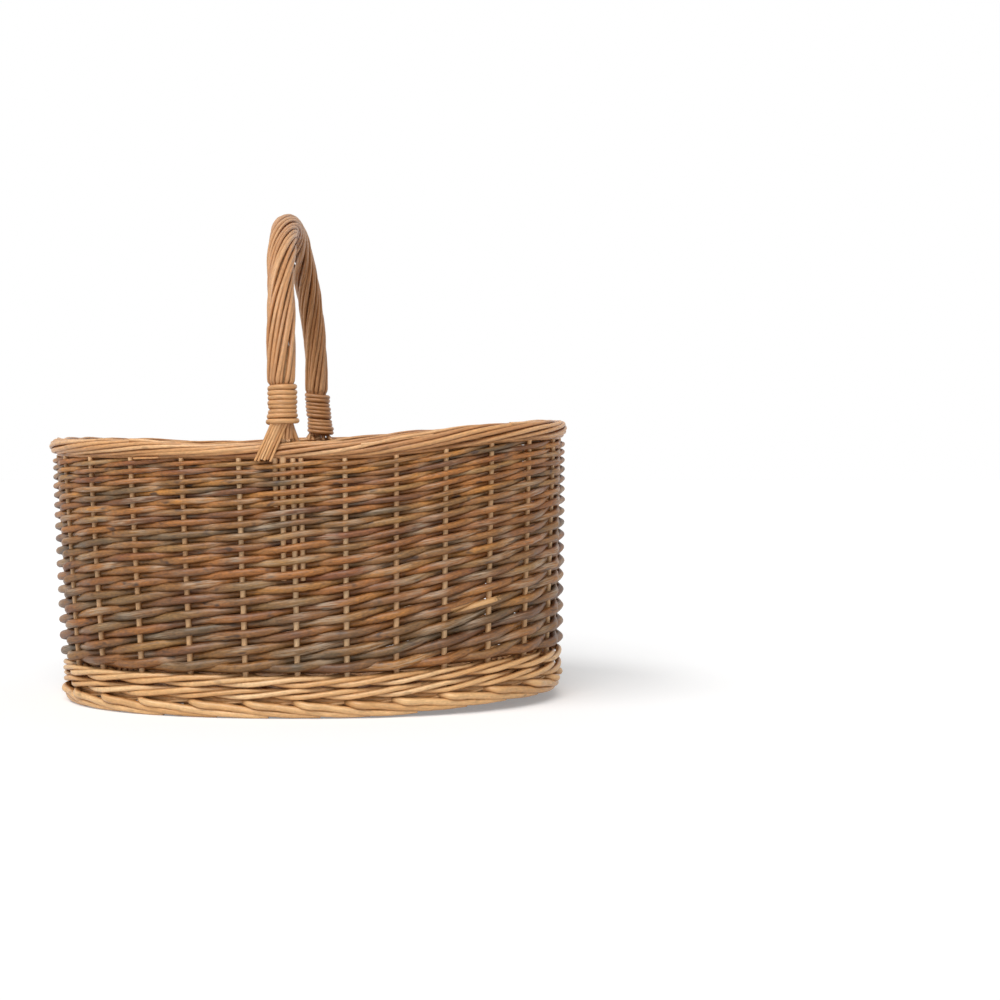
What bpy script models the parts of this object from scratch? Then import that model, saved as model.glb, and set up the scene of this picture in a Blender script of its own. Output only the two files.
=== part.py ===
"""Oval willow shopping basket with a fixed roped hoop handle.

The wall is French randing: one rod to a stake, each passing in front of one stake and
behind the next while it climbs one row a stake. Under it lie a three-rod wale and a
foot border, and over it a rolled border. The hoop's bow goes down beside a stake on
each long side, with rope rods twisted round it, a bound collar over each end and a
flat splay of rod tips laid over the border.
X is the length, the front long side faces -Y, and the foot stands on Z = 0.
"""

from math import cos, pi, sin

import bmesh
import bpy
import numpy as np
from mathutils import Vector

# Overall sizes, in metres
RIM_LENGTH = 0.4965
RIM_WIDTH = 0.332
RIM_HEIGHT = 0.2475
FOOT_LENGTH = 0.4720
FOOT_WIDTH = 0.3035
OUTLINE_FULLNESS_SHARE = 2.2
GAP = 0.0003

# The right-hand end stands a little higher, as the maker left it, and its wall is steeper
FOOT_END_LIFT = 0.009
RIM_END_LIFT = 0.016
FOOT_SHIFT = 0.0038
LIFT_START = 0.040
LIFT_END = 0.230

# Over the left half of the front the stakes stand further apart, as the maker set them
SPREAD = 0.0195
SPREAD_START = 0.030
SPREAD_FULL = 0.215
SPREAD_END = 0.600

# Stakes
STAKES = 28
STAKE_BUTT_RADIUS = 0.0029
STAKE_TIP_RADIUS = 0.0024
STAKE_BEND = 0.0035
STAKE_LEG = 0.009

# Base of crossed sticks and its weave
BASE_HEIGHT = 0.0203
BASE_THICKNESS = 0.009
BASE_RIDGE = 0.0012
BASE_EDGE_INSET = 0.009
BASE_ROUNDS = 3
BASE_SEGMENTS = 28
SLOT_LENGTH = 0.226
LONG_STICKS = 3
LONG_STICK_RADIUS = 0.0020
CROSS_STICKS = 7
CROSS_STICK_RADIUS = 0.0034
CROSS_STICK_SPACING = 0.034
STICK_END_INSET = 0.020

# Foot border, rim border and the wale over the foot
FOOT_HEIGHT = 0.0170
FOOT_DEPTH = 0.0155
FOOT_FLAT = 0.0022
BORDER_HEIGHT = 0.0155
BORDER_DEPTH = 0.0160
BORDER_STRANDS = 6
FOOT_STRANDS = 5
BORDER_GROOVE = 0.0013
FOOT_GROOVE = 0.0016
RING_FULLNESS_SHARE = 2.6
WALE_ROUNDS = 2
WALE_RADIUS = 0.0025
WALE_STEP = 0.0054
WALE_SEAT = 0.0007

# Siding
ROWS = 34
ROD_TAPER_SHARE = 0.34
ROD_SIDES = 3
ROW_GAP = 0.0006
BEND_SHARE = 1.10
BUTT_SHARE = 0.55

# Handle bow, beside the middle stake of each long side
BOW_LEAD = -0.0085
ARCH_LEG = 0.0444
HANDLE_LEAN = 0.0116
BOW_RADIUS = 0.0065
BOW_COLLAR_RADIUS = 0.0051
BOW_RIM_RADIUS = 0.0030
BOW_TIP_RADIUS = 0.0024
BOW_DEPTH = 0.1245
ARCH_STEPS = 26

# Rope round the bow
BUNCHES = 4
RODS_IN_BUNCH = 4
ROPE_TURNS = 2
ROPE_RING = 0.0101
ROPE_ROD_RADIUS = 0.0019
ROPE_COLLAR_RING = 0.0075
ROPE_COLLAR_ROD_RADIUS = 0.0014
ROPE_SWELL = 0.012
ROPE_STEPS = 21
VALLEY_SHARE = 0.35
BUNCH_FILL_SHARE = 0.94

# Collars. The rear one is wound further, down to the border
COLLAR_LIFTS = {"front": 0.0126, "rear": 0.0010}
COLLAR_TURNS = {"front": 9, "rear": 11}
COLLAR_PITCH = 0.0042
COLLAR_ROD_RADIUS = 0.0018
COLLAR_POINTS = 10
LEAST_TURN_GAP = 0.0004

# Splays and liners
SPLAY_RODS = 6
SPLAY_ROD_RADIUS = 0.00125
SPLAY_TOP_LEAD = -0.0096
SPLAY_FOOT_LEAD = -0.0251
SPLAY_DROP = 0.0178
LINER_RADIUS = 0.0024
LINER_LEADS = {"left": -0.0160, "right": 0.0071}
LINER_DEPTHS = {"left": 0.0590, "right": 0.1245}

PEELED = (0.66, 0.43, 0.22)
BUFF = (0.60, 0.36, 0.15)
BROWN = (0.30, 0.21, 0.13)
HONEY = (0.62, 0.36, 0.16)

# Worked out from the sizes above
RIM_LINE = (RIM_LENGTH / 2 - BORDER_DEPTH / 2, RIM_WIDTH / 2 - BORDER_DEPTH / 2)
FOOT_LINE = (FOOT_LENGTH / 2 - FOOT_DEPTH / 2, FOOT_WIDTH / 2 - FOOT_DEPTH / 2)
BORDER_BOTTOM = RIM_HEIGHT - BORDER_HEIGHT
ARCH_HEIGHT = RIM_HEIGHT + ARCH_LEG
BOW_END_HEIGHT = RIM_HEIGHT - BOW_DEPTH
SPLAY_FOOT_HEIGHT = RIM_HEIGHT - SPLAY_DROP
COLLAR_HEIGHT = (COLLAR_TURNS["front"] - 1) * COLLAR_PITCH + 2 * COLLAR_ROD_RADIUS
COLLAR_TOP = RIM_HEIGHT + COLLAR_LIFTS["front"] + COLLAR_HEIGHT
WALE_LOW = FOOT_HEIGHT - WALE_SEAT + GAP + WALE_RADIUS
WALE_BACK = max(WALE_LOW + WALE_STEP, BASE_HEIGHT + STAKE_BUTT_RADIUS + GAP + WALE_RADIUS)
WALE_ROUND = 2 * WALE_STEP
WALE_TOP = WALE_BACK + (WALE_ROUNDS - 1) * WALE_ROUND + WALE_RADIUS
ROW_PITCH = (BORDER_BOTTOM - WALE_TOP - 2 * GAP + ROW_GAP) / (ROWS + 1)
FIRST_PITCH = ROW_PITCH * (1 + ROD_TAPER_SHARE)
LAST_PITCH = ROW_PITCH * (1 - ROD_TAPER_SHARE)
FIRST_ROW = WALE_TOP + GAP + (FIRST_PITCH - ROW_GAP) / 2
SAMPLES = 2880


def oval(half_length, half_width, angle, fullness=OUTLINE_FULLNESS_SHARE):
    """Point of the oval at an angle, and its outward direction."""
    c, s = np.cos(angle), np.sin(angle)
    x = half_length * np.sign(c) * np.abs(c) ** (2 / fullness)
    y = half_width * np.sign(s) * np.abs(s) ** (2 / fullness)
    out_x = np.sign(c) * np.abs(c) ** (2 - 2 / fullness) / half_length
    out_y = np.sign(s) * np.abs(s) ** (2 - 2 / fullness) / half_width
    size = np.hypot(out_x, out_y)
    return x, y, out_x / size, out_y / size


ANGLES = np.linspace(-pi / 2, 3 * pi / 2, SAMPLES + 1)
LINE_X, LINE_Y = oval(*RIM_LINE, ANGLES)[:2]
REACH = np.concatenate([[0.0], np.cumsum(np.hypot(np.diff(LINE_X), np.diff(LINE_Y)))])
ROUND = float(REACH[-1])
PITCH = ROUND / STAKES


def lift(x, z):
    """How much higher the maker's right-hand end stands at x, growing from foot to rim."""
    share = min(max((x - LIFT_START) / (LIFT_END - LIFT_START), 0), 1)
    share = share * share * (3 - 2 * share)
    return share * (FOOT_END_LIFT + (RIM_END_LIFT - FOOT_END_LIFT) * z / RIM_HEIGHT)


def wall_angle(lead):
    """Angle of the oval at a distance round from the front's middle, spread over its left half."""
    back = ROUND - lead % ROUND
    share = min(max((back - SPREAD_START) / (SPREAD_FULL - SPREAD_START), 0), 1)
    spread = SPREAD * sin(share * pi / 2) * (1 - smooth_share(back, SPREAD_FULL, SPREAD_END))
    return float(np.interp((lead - spread) % ROUND, REACH, ANGLES))


def wall_frame(angle, z):
    """Point of the stakes' line at an angle of the oval, and its outward direction."""
    share = z / RIM_HEIGHT
    halves = [blend(foot, rim, share) for foot, rim in zip(FOOT_LINE, RIM_LINE)]
    x, y, out_x, out_y = oval(*halves, angle)
    return x + FOOT_SHIFT * (1 - share), y, out_x, out_y


def wall_point(lead, z, out=0.0):
    """Point of the wall: lead goes round it, z is its height before the lift, out is outward."""
    x, y, out_x, out_y = wall_frame(wall_angle(lead), z)
    x, y = x + out * out_x, y + out * out_y
    return Vector((x, y, z + lift(x, z)))


def smooth_share(value, start, end):
    share = min(max((value - start) / (end - start), 0), 1)
    return share * share * (3 - 2 * share)


def blend(start, end, share):
    return start + (end - start) * share


# Collections, materials and objects

def empty_scene():
    for obj in list(bpy.data.objects):
        bpy.data.objects.remove(obj)


def collection(name):
    made = bpy.data.collections.new(name)
    bpy.context.scene.collection.children.link(made)
    return made


def willow(name, colour, roughness):
    material = bpy.data.materials.new(name)
    material.use_nodes = True
    surface = material.node_tree.nodes["Principled BSDF"]
    surface.inputs["Base Color"].default_value = (*colour, 1)
    surface.inputs["Roughness"].default_value = roughness
    surface.inputs["Metallic"].default_value = 0
    return material


def finish(obj, colour, roughness):
    obj.data.materials.append(willow(obj.name, colour, roughness))
    if obj.type == "MESH":
        obj.data.shade_smooth()
        obj.data.set_sharp_from_angle(angle=pi / 3)
    return obj


def mesh_object(name, points, faces, into):
    """A closed mesh from rings of points, with its faces turned outward."""
    mesh = bpy.data.meshes.new(name)
    shape = bmesh.new()
    corners = [shape.verts.new(point) for point in points]
    for face in faces:
        shape.faces.new([corners[i] for i in face])
    bmesh.ops.recalc_face_normals(shape, faces=shape.faces)
    shape.to_mesh(mesh)
    shape.free()
    obj = bpy.data.objects.new(name, mesh)
    into.objects.link(obj)
    return obj


def loft(name, rings, into, closed=False, turn=0):
    """Skin over rings of equal count. A closed loft joins the last ring to the first, turned by some corners."""
    count = len(rings[0])
    points = [point for ring in rings for point in ring]
    faces = []
    for i in range(len(rings) - (not closed)):
        last = closed and i == len(rings) - 1
        start, end, shift = i * count, 0 if last else (i + 1) * count, turn if last else 0
        for j in range(count):
            k = (j + 1) % count
            faces.append((start + j, start + k, end + (k + shift) % count, end + (j + shift) % count))
    if not closed:
        faces.append(tuple(reversed(range(count))))
        faces.append(tuple(range(len(points) - count, len(points))))
    return mesh_object(name, points, faces, into)


def rod(name, points, radii, into, resolution=1):
    """A round rod along points, as a bevelled curve with filled ends."""
    curve = bpy.data.curves.new(name, "CURVE")
    curve.dimensions = "3D"
    curve.bevel_depth = max(radii)
    curve.bevel_resolution = resolution
    curve.use_fill_caps = True
    spline = curve.splines.new("POLY")
    spline.points.add(len(points) - 1)
    for corner, point, radius in zip(spline.points, points, radii):
        corner.co = (*point, 1)
        corner.radius = radius / max(radii)
    spline.use_smooth = True
    obj = bpy.data.objects.new(name, curve)
    into.objects.link(obj)
    return obj


def as_mesh(obj, into):
    """The curve object as a welded mesh object, which can be cut or can cut."""
    bpy.context.view_layer.update()
    evaluated = obj.evaluated_get(bpy.context.evaluated_depsgraph_get())
    mesh = bpy.data.meshes.new_from_object(evaluated)
    shape = bmesh.new()
    shape.from_mesh(mesh)
    bmesh.ops.remove_doubles(shape, verts=shape.verts, dist=GAP / 100)
    bmesh.ops.recalc_face_normals(shape, faces=shape.faces)
    shape.to_mesh(mesh)
    shape.free()
    made = bpy.data.objects.new(obj.name, mesh)
    made.matrix_world = obj.matrix_world
    name = obj.name
    bpy.data.objects.remove(obj)
    made.name = name
    into.objects.link(made)
    return made


def cut(obj, cutters, operation="DIFFERENCE"):
    """Cuts every object of a collection out of obj, or joins them to it."""
    cutters.hide_render = True
    for cutter in cutters.objects:
        cutter.hide_render = True
        cutter.display_type = "WIRE"
    step = obj.modifiers.new(operation.lower(), "BOOLEAN")
    step.operation = operation
    step.operand_type = "COLLECTION"
    step.collection = cutters
    step.solver = "EXACT"


# Stakes and base

def stake_radius(z):
    return blend(STAKE_BUTT_RADIUS, STAKE_TIP_RADIUS, z / RIM_HEIGHT)


def stake_path(lead, spare=0.0):
    """From the leg's end in the base, out and up through the wall to under the border."""
    leg_end = -(BASE_EDGE_INSET + STAKE_LEG + spare)
    return [
        wall_point(lead, BASE_HEIGHT, leg_end),
        wall_point(lead, BASE_HEIGHT, -STAKE_BEND),
        wall_point(lead, BASE_HEIGHT + STAKE_BEND),
        wall_point(lead, BORDER_BOTTOM - GAP),
    ]


def stake(number, parts):
    path = stake_path(number * PITCH)
    radii = [STAKE_BUTT_RADIUS] * (len(path) - 1) + [STAKE_TIP_RADIUS]
    return finish(rod(f"stake_{number + 1:02d}", path, radii, parts), PEELED, 0.55)


def base_edge(lead):
    return wall_point(lead, BASE_HEIGHT, -BASE_EDGE_INSET)


def base_sizes():
    """Middle of the base along X, and its half length and half width."""
    right, left = (wall_frame(angle, BASE_HEIGHT)[0] for angle in (0, pi))
    half_width = wall_frame(pi / 2, BASE_HEIGHT)[1]
    return (left + right) / 2, (right - left) / 2 - BASE_EDGE_INSET, half_width - BASE_EDGE_INSET


def stick_point(x, y):
    """Point on the base's middle plane, x from the middle of its length."""
    x += base_sizes()[0]
    return Vector((x, y, BASE_HEIGHT + lift(x, BASE_HEIGHT)))


def long_stick(number, parts, spare=0.0):
    """One of the long sticks that lie side by side through the slits of the cross sticks."""
    y = (number - (LONG_STICKS - 1) / 2) * (2 * LONG_STICK_RADIUS + GAP)
    reach = base_sizes()[1] - STICK_END_INSET + spare
    steps = CROSS_STICKS + 1
    path = [stick_point(reach * (2 * i / steps - 1), y) for i in range(steps + 1)]
    radii = [LONG_STICK_RADIUS + spare] * len(path)
    return rod(f"base_long_stick_{number + 1}", path, radii, parts)


def cross_stick(number, parts, spare=0.0):
    """One of the sticks across the base."""
    x = (number - (CROSS_STICKS - 1) / 2) * CROSS_STICK_SPACING
    half_length, half_width = base_sizes()[1:]
    width_share = (1 - (abs(x) / half_length) ** OUTLINE_FULLNESS_SHARE) ** (1 / OUTLINE_FULLNESS_SHARE)
    reach = half_width * width_share - STICK_END_INSET + spare
    path = [stick_point(x, -reach), stick_point(x, reach)]
    radii = [CROSS_STICK_RADIUS + spare] * 2
    return rod(f"base_cross_stick_{number + 1}", path, radii, parts, 2)


def slit_cross_stick(number, parts, slit):
    obj = as_mesh(cross_stick(number, parts), parts)
    cut(obj, slit)
    return finish(obj, PEELED, 0.6)


def slit_cutter(into):
    """The flat bundle of long sticks with its clearance, which splits every cross stick."""
    half_width = LONG_STICKS * LONG_STICK_RADIUS + (LONG_STICKS - 1) * GAP / 2 + GAP
    half_height = LONG_STICK_RADIUS + GAP
    reach = base_sizes()[1] - STICK_END_INSET
    steps = CROSS_STICKS + 1
    corners = [(-half_width, -1), (half_width, -1), (half_width, 1), (-half_width, 1)]
    rings = []
    for i in range(steps + 1):
        x = reach * (2 * i / steps - 1)
        rings.append([stick_point(x, y) + Vector((0, 0, side * half_height)) for y, side in corners])
    return loft("long_stick_slit", rings, into)


def base_weave(parts, sockets):
    """The woven oval round the sticks, whose rounds pass over and under in turn, with channels and sockets."""
    slot_half_width = LONG_STICKS * LONG_STICK_RADIUS + LONG_STICKS * GAP
    columns = []
    for j in range(BASE_SEGMENTS):
        lead = ROUND * (j + 1 / 2) / BASE_SEGMENTS
        edge = base_edge(lead)
        angle = wall_angle(lead)
        slot_x, slot_y = oval(SLOT_LENGTH / 2, slot_half_width, angle, 2 * RING_FULLNESS_SHARE)[:2]
        slot_x += base_sizes()[0]
        column = []
        for side in (1, -1):
            for i in range(BASE_ROUNDS + 1):
                share = i / BASE_ROUNDS if side > 0 else 1 - i / BASE_ROUNDS
                x, y = blend(slot_x, edge.x, share), blend(slot_y, edge.y, share)
                over = (i + j) % 2 and 0 < share < 1
                ridge = BASE_RIDGE if over else 0
                z = BASE_HEIGHT + side * (BASE_THICKNESS / 2 + ridge)
                column.append(Vector((x, y, z + lift(x, BASE_HEIGHT))))
        columns.append(column)
    obj = loft("base_weave", columns, parts, closed=True)
    cut(obj, sockets)
    return finish(obj, BUFF, 0.7)


def base(parts):
    slit = collection("long_stick_slit")
    slit_cutter(slit)
    for number in range(CROSS_STICKS):
        slit_cross_stick(number, parts, slit)
    for number in range(LONG_STICKS):
        finish(long_stick(number, parts), PEELED, 0.6)
    sockets = collection("base_sockets")
    for number in range(CROSS_STICKS):
        as_mesh(cross_stick(number, sockets, GAP), sockets).name = f"cross_channel_{number + 1}"
    for number in range(LONG_STICKS):
        as_mesh(long_stick(number, sockets, GAP), sockets).name = f"long_channel_{number + 1}"
    for number in range(STAKES):
        path = stake_path(number * PITCH, GAP)[:2]
        socket = rod(f"socket_{number + 1}", path, [STAKE_BUTT_RADIUS + GAP] * 2, sockets)
        as_mesh(socket, sockets)
    base_weave(parts, sockets)


# Borders and wale

def strand_ring(name, parts, centre_z, half_height, half_depth, groove_depth, strands, rise):
    """A border of rods round a ring, above the floor. Each strand climbs, or sinks, by one strand a stake."""
    corners = 2 * strands
    steps = 2 * STAKES
    rings = []
    for i in range(steps):
        lead = i * ROUND / steps
        ring = []
        for j in range(corners):
            angle = 2 * pi * (j / corners + rise * i / 2 / strands)
            groove = groove_depth if j % 2 else 0
            out, up = oval(half_depth - groove, half_height - groove, angle, RING_FULLNESS_SHARE)[:2]
            ring.append(wall_point(lead, max(centre_z + up, 0), out))
        rings.append(ring)
    return loft(name, rings, parts, closed=True, turn=(rise * 2 * STAKES) % corners)


def foot_border(parts):
    """The foot stands on the flat undersides of its rods."""
    centre = (FOOT_HEIGHT - FOOT_FLAT) / 2
    half_height = (FOOT_HEIGHT + FOOT_FLAT) / 2
    sizes = (centre, half_height, FOOT_DEPTH / 2, FOOT_GROOVE)
    obj = strand_ring("foot_border", parts, *sizes, FOOT_STRANDS, -1)
    return finish(obj, HONEY, 0.45)


def rim_border(parts, holes):
    sizes = (RIM_HEIGHT - BORDER_HEIGHT / 2, BORDER_HEIGHT / 2, BORDER_DEPTH / 2, BORDER_GROOVE)
    obj = strand_ring("rim_border", parts, *sizes, BORDER_STRANDS, 1)
    cut(obj, holes)
    return finish(obj, BUFF, 0.5)


def section(centre_lead, z, out, radius, sides):
    """Ring of a woven rod where it crosses a stake, in the wall's upright plane."""
    size = radius / max(abs(sin(2 * pi * j / sides)) for j in range(sides))
    turns = [2 * pi * j / sides for j in range(sides)]
    return [wall_point(centre_lead, z + size * sin(t), out + size * cos(t)) for t in turns]


def upsett_wale(parts):
    """Three-rod waling from the rear: in front of two stakes and behind one, as one rod laid three times a round."""
    front = STAKE_BUTT_RADIUS + GAP + WALE_RADIUS
    high = WALE_LOW + WALE_STEP
    stroke = [
        (0, -front, WALE_BACK),
        (0.5, 0.0, WALE_LOW),
        (1, front, WALE_LOW),
        (2, front, high),
        (2.5, 0.0, high),
    ]
    rings = []
    for start in range(0, 3 * WALE_ROUNDS * STAKES, 3):
        for step, out, z in stroke:
            place = start + step
            z += WALE_ROUND * (place // (3 * STAKES))
            rings.append(section((place + STAKES // 2) * PITCH, z, out, WALE_RADIUS, 4))
    return finish(loft("upsett_wale", rings, parts), HONEY, 0.45)


# Siding

def row_height(row):
    row = max(row, 0)
    return FIRST_ROW + FIRST_PITCH * row - (FIRST_PITCH - LAST_PITCH) * row * row / (2 * ROWS)


def row_radius(row):
    share = min(max(row, 0), ROWS) / ROWS
    return (blend(FIRST_PITCH, LAST_PITCH, share) - ROW_GAP) / 2


def bow_radius(z):
    """Radius of the bow from its tip in the siding up to the middle of the arch."""
    if z < RIM_HEIGHT:
        return blend(BOW_TIP_RADIUS, BOW_RIM_RADIUS, smooth_share(z, BOW_END_HEIGHT, BORDER_BOTTOM))
    collar_bottom = RIM_HEIGHT + COLLAR_LIFTS["front"]
    if z < collar_bottom:
        return blend(BOW_RIM_RADIUS, BOW_COLLAR_RADIUS, smooth_share(z, RIM_HEIGHT, collar_bottom))
    return blend(BOW_COLLAR_RADIUS, BOW_RADIUS, rope_swell(z))


def post(z, rear):
    """The group that a siding rod passes as one at a handle stake: where it starts and ends, and its half depth."""
    left, right, depth = 0.0, 0.0, stake_radius(z)
    if z > BOW_END_HEIGHT:
        left, depth = BOW_LEAD - bow_radius(z), max(depth, bow_radius(z))
    if z > RIM_HEIGHT - LINER_DEPTHS["left"]:
        left = LINER_LEADS["left"] - LINER_RADIUS
    if z > RIM_HEIGHT - LINER_DEPTHS["right"]:
        right = LINER_LEADS["right"] + LINER_RADIUS
    return (-right, -left, depth) if rear else (left, right, depth)


def siding_rod(number, parts):
    """One rod of the French randing, from its butt inside the basket to its tip under the border."""
    inner = min(cos(2 * pi * j / ROD_SIDES) for j in range(ROD_SIDES))
    widest = max(abs(sin(2 * pi * j / ROD_SIDES)) for j in range(ROD_SIDES))
    rings = []
    for row in range(-1, ROWS + 1):
        column = number + row
        outside = row % 2 == 1 and row > 0
        reaches = [0.0]
        depth = stake_radius(row_height(row))
        if column % (STAKES // 2) == 0:
            rear = column % STAKES > 0
            left, right, depth = post(row_height(row + 1) + row_radius(row) + GAP, rear)
            if right - left > 0:
                reaches = [left, right]
        for reach in reaches:
            place = row + reach / PITCH
            radius = row_radius(place) * (BUTT_SHARE if row < 0 else 1)
            clear = (depth + GAP) * BEND_SHARE
            out = clear - inner * radius / widest if outside else -clear - radius / widest
            lead = column * PITCH + reach
            rings.append(section(lead, row_height(place), out, radius, ROD_SIDES))
    return loft(f"siding_rod_{number + 1:02d}", rings, parts)


def siding(parts):
    """All the siding rods, whose butts lie along each other inside the first row."""
    others = collection("siding_rods")
    first = siding_rod(0, parts)
    first.name = "siding"
    for number in range(1, STAKES):
        siding_rod(number, others)
    cut(first, others, "UNION")
    return finish(first, BROWN, 0.65)


# Handle

def rope_swell(z):
    """From 0 at the collars' tops to 1 where the rope has its full thickness."""
    return smooth_share(z, COLLAR_TOP, COLLAR_TOP + ROPE_SWELL)


def hoop_x(z):
    """The hoop stands beside the middle stakes and leans a little to the left over the arch."""
    top = ARCH_HEIGHT + RIM_LINE[1]
    share = max((z - RIM_HEIGHT) / (top - RIM_HEIGHT), 0)
    return BOW_LEAD - HANDLE_LEAN * share * share


def side_lead(lead, rear):
    """Distance round the wall of a place beside the middle stake, mirrored to the rear side."""
    return ROUND / 2 - lead if rear else lead


def hoop_point(share):
    """Centre line of the hoop from the front rim (0) over the arch to the rear rim (1)."""
    radius = RIM_LINE[1]
    leg = ARCH_HEIGHT - RIM_HEIGHT
    length = 2 * leg + pi * radius
    along = share * length
    if along < leg:
        y, z = -radius, RIM_HEIGHT + along
    elif along > length - leg:
        y, z = radius, RIM_HEIGHT + length - along
    else:
        turn = (along - leg) / radius
        y, z = -radius * cos(turn), ARCH_HEIGHT + radius * sin(turn)
    return Vector((hoop_x(z), y, z))


def bow_point(z, rear):
    """Centre of the bow's leg in the wall, which runs straight down from the hoop."""
    point = wall_point(side_lead(BOW_LEAD, rear), z)
    point.x = BOW_LEAD
    return point


def handle_bow(parts):
    """The bow: tapered ends down beside a stake on each long side, and the arch between them."""
    levels = [BOW_END_HEIGHT, blend(BOW_END_HEIGHT, BORDER_BOTTOM, 1 / 2), BORDER_BOTTOM]
    front = [bow_point(z, False) for z in levels]
    rear = [bow_point(z, True) for z in reversed(levels)]
    hoop = [hoop_point(i / ARCH_STEPS) for i in range(ARCH_STEPS + 1)]
    path = front + hoop + rear
    return finish(rod("handle_bow", path, [bow_radius(p.z) for p in path], parts), PEELED, 0.5)


def bow_holes(into):
    """Where the bow's legs pass down through the rim border."""
    for place in ("front", "rear"):
        path = [bow_point(z, place == "rear") for z in (BORDER_BOTTOM - BORDER_HEIGHT, RIM_HEIGHT)]
        end = path[1].copy()
        end.z += BORDER_HEIGHT
        radius = BOW_RIM_RADIUS + GAP
        obj = rod(f"bow_hole_{place}", [*path, end], [radius] * 3, into)
        as_mesh(obj, into)


def hoop_axes(share):
    """The hoop's direction at a place, and the two directions across it."""
    step = 1 / (8 * ROPE_STEPS)
    ahead = hoop_point(min(share + step, 1)) - hoop_point(max(share - step, 0))
    ahead.normalize()
    across = Vector((1, 0, 0))
    across = (across - ahead * across.dot(ahead)).normalized()
    return across, ahead.cross(across)


def rope_places():
    """Shares of the hoop: its ends, the collars' tops, and even steps where the rope is at its full thickness."""
    length = 2 * ARCH_LEG + pi * RIM_LINE[1]
    tied = (COLLAR_TOP - RIM_HEIGHT) / length
    full = tied + ROPE_SWELL / length
    steps = [blend(full, 1 - full, i / ROPE_STEPS) for i in range(ROPE_STEPS + 1)]
    return [GAP / RIM_HEIGHT, tied, *steps, 1 - tied, 1 - GAP / RIM_HEIGHT]


def rope_bunch(number, parts):
    """Rope rods laid side by side as a ribbon, twisted round the bow from one rim to the other."""
    rings = []
    slice_angle = 2 * pi / BUNCHES * BUNCH_FILL_SHARE
    for share in rope_places():
        centre = hoop_point(share)
        across, beside = hoop_axes(share)
        swell = rope_swell(centre.z)
        ring = blend(ROPE_COLLAR_RING, ROPE_RING, swell)
        radius = blend(ROPE_COLLAR_ROD_RADIUS, ROPE_ROD_RADIUS, swell)
        turn = 2 * pi * (number / BUNCHES + ROPE_TURNS * smooth_share(share, 0, 1))
        outline = [(0.0, ring - radius)]
        for j in range(2 * RODS_IN_BUNCH - 1):
            reach = radius if j % 2 == 0 else radius * VALLEY_SHARE
            outline.append(((j + 1) / (2 * RODS_IN_BUNCH), ring + reach))
        outline += [(1.0, ring - radius), (0.5, ring - radius)]
        corners = []
        for place, distance in outline:
            angle = turn + slice_angle * (place - 0.5)
            corners.append(centre + (across * cos(angle) + beside * sin(angle)) * distance)
        rings.append(corners)
    return finish(loft(f"rope_bunch_{number + 1}", rings, parts), PEELED, 0.45)


def least_turn_gap(points, per_turn, radius):
    """Least clear space between a winding's turns, on its points."""
    pairs = zip(points, points[per_turn:])
    return min((b - a).length for a, b in pairs) - 2 * radius


def collar(place, parts):
    """A thin rod wound tightly round the rope over the border."""
    name, rear = f"collar_{place}", place == "rear"
    bottom = RIM_HEIGHT + COLLAR_LIFTS[place] + COLLAR_ROD_RADIUS
    ring = ROPE_COLLAR_RING + ROPE_COLLAR_ROD_RADIUS + GAP + COLLAR_ROD_RADIUS
    ring = ring / cos(pi / COLLAR_POINTS)
    path = []
    for i in range(COLLAR_TURNS[place] * COLLAR_POINTS - COLLAR_POINTS + 1):
        angle = 2 * pi * i / COLLAR_POINTS
        z = bottom + COLLAR_PITCH * i / COLLAR_POINTS
        side = 1 if rear else -1
        centre = Vector((hoop_x(z), side * RIM_LINE[1], z))
        path.append(centre + side * Vector((ring * sin(angle), ring * cos(angle), 0)))
    gap = least_turn_gap(path, COLLAR_POINTS, COLLAR_ROD_RADIUS)
    print(f"{name}: least gap between turns {gap * 1000:.2f} mm")
    assert gap > LEAST_TURN_GAP
    return finish(rod(name, path, [COLLAR_ROD_RADIUS] * len(path), parts), HONEY, 0.4)


def splay(place, parts):
    """Flat band of rod tips from under the collar, slanting over the border's outer face."""
    name, rear = f"splay_{place}", place == "rear"
    top = RIM_HEIGHT + COLLAR_LIFTS[place] - GAP
    rope_out = ROPE_COLLAR_RING + ROPE_COLLAR_ROD_RADIUS + GAP
    border_out = BORDER_DEPTH / 2 + GAP
    siding_out = (BOW_RIM_RADIUS + GAP) * BEND_SHARE + LAST_PITCH + GAP
    levels = [(top, rope_out), (RIM_HEIGHT, rope_out), (BORDER_BOTTOM, border_out)]
    levels.append((SPLAY_FOOT_HEIGHT, max(siding_out, border_out)))
    width = 2 * SPLAY_ROD_RADIUS * SPLAY_RODS
    rings = []
    for z, out in levels:
        share = (top - z) / (top - SPLAY_FOOT_HEIGHT)
        middle = blend(SPLAY_TOP_LEAD, SPLAY_FOOT_LEAD, share)
        ring = [wall_point(side_lead(middle - width / 2, rear), z, out)]
        for j in range(2 * SPLAY_RODS + 1):
            reach = 2 * SPLAY_ROD_RADIUS * (1 if j % 2 else 1 - VALLEY_SHARE)
            lead = middle + width * (j / (2 * SPLAY_RODS) - 1 / 2)
            ring.append(wall_point(side_lead(lead, rear), z, out + reach))
        ring.append(wall_point(side_lead(middle + width / 2, rear), z, out))
        rings.append(ring)
    return finish(loft(name, rings, parts), PEELED, 0.45)


def liner(name, side, rear, parts):
    """A short rod driven down beside the bow, which the siding passes with it."""
    levels = [RIM_HEIGHT - LINER_DEPTHS[side], BORDER_BOTTOM - GAP]
    path = [wall_point(side_lead(LINER_LEADS[side], rear), z) for z in levels]
    return finish(rod(name, path, [LINER_RADIUS] * 2, parts), PEELED, 0.55)


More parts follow.
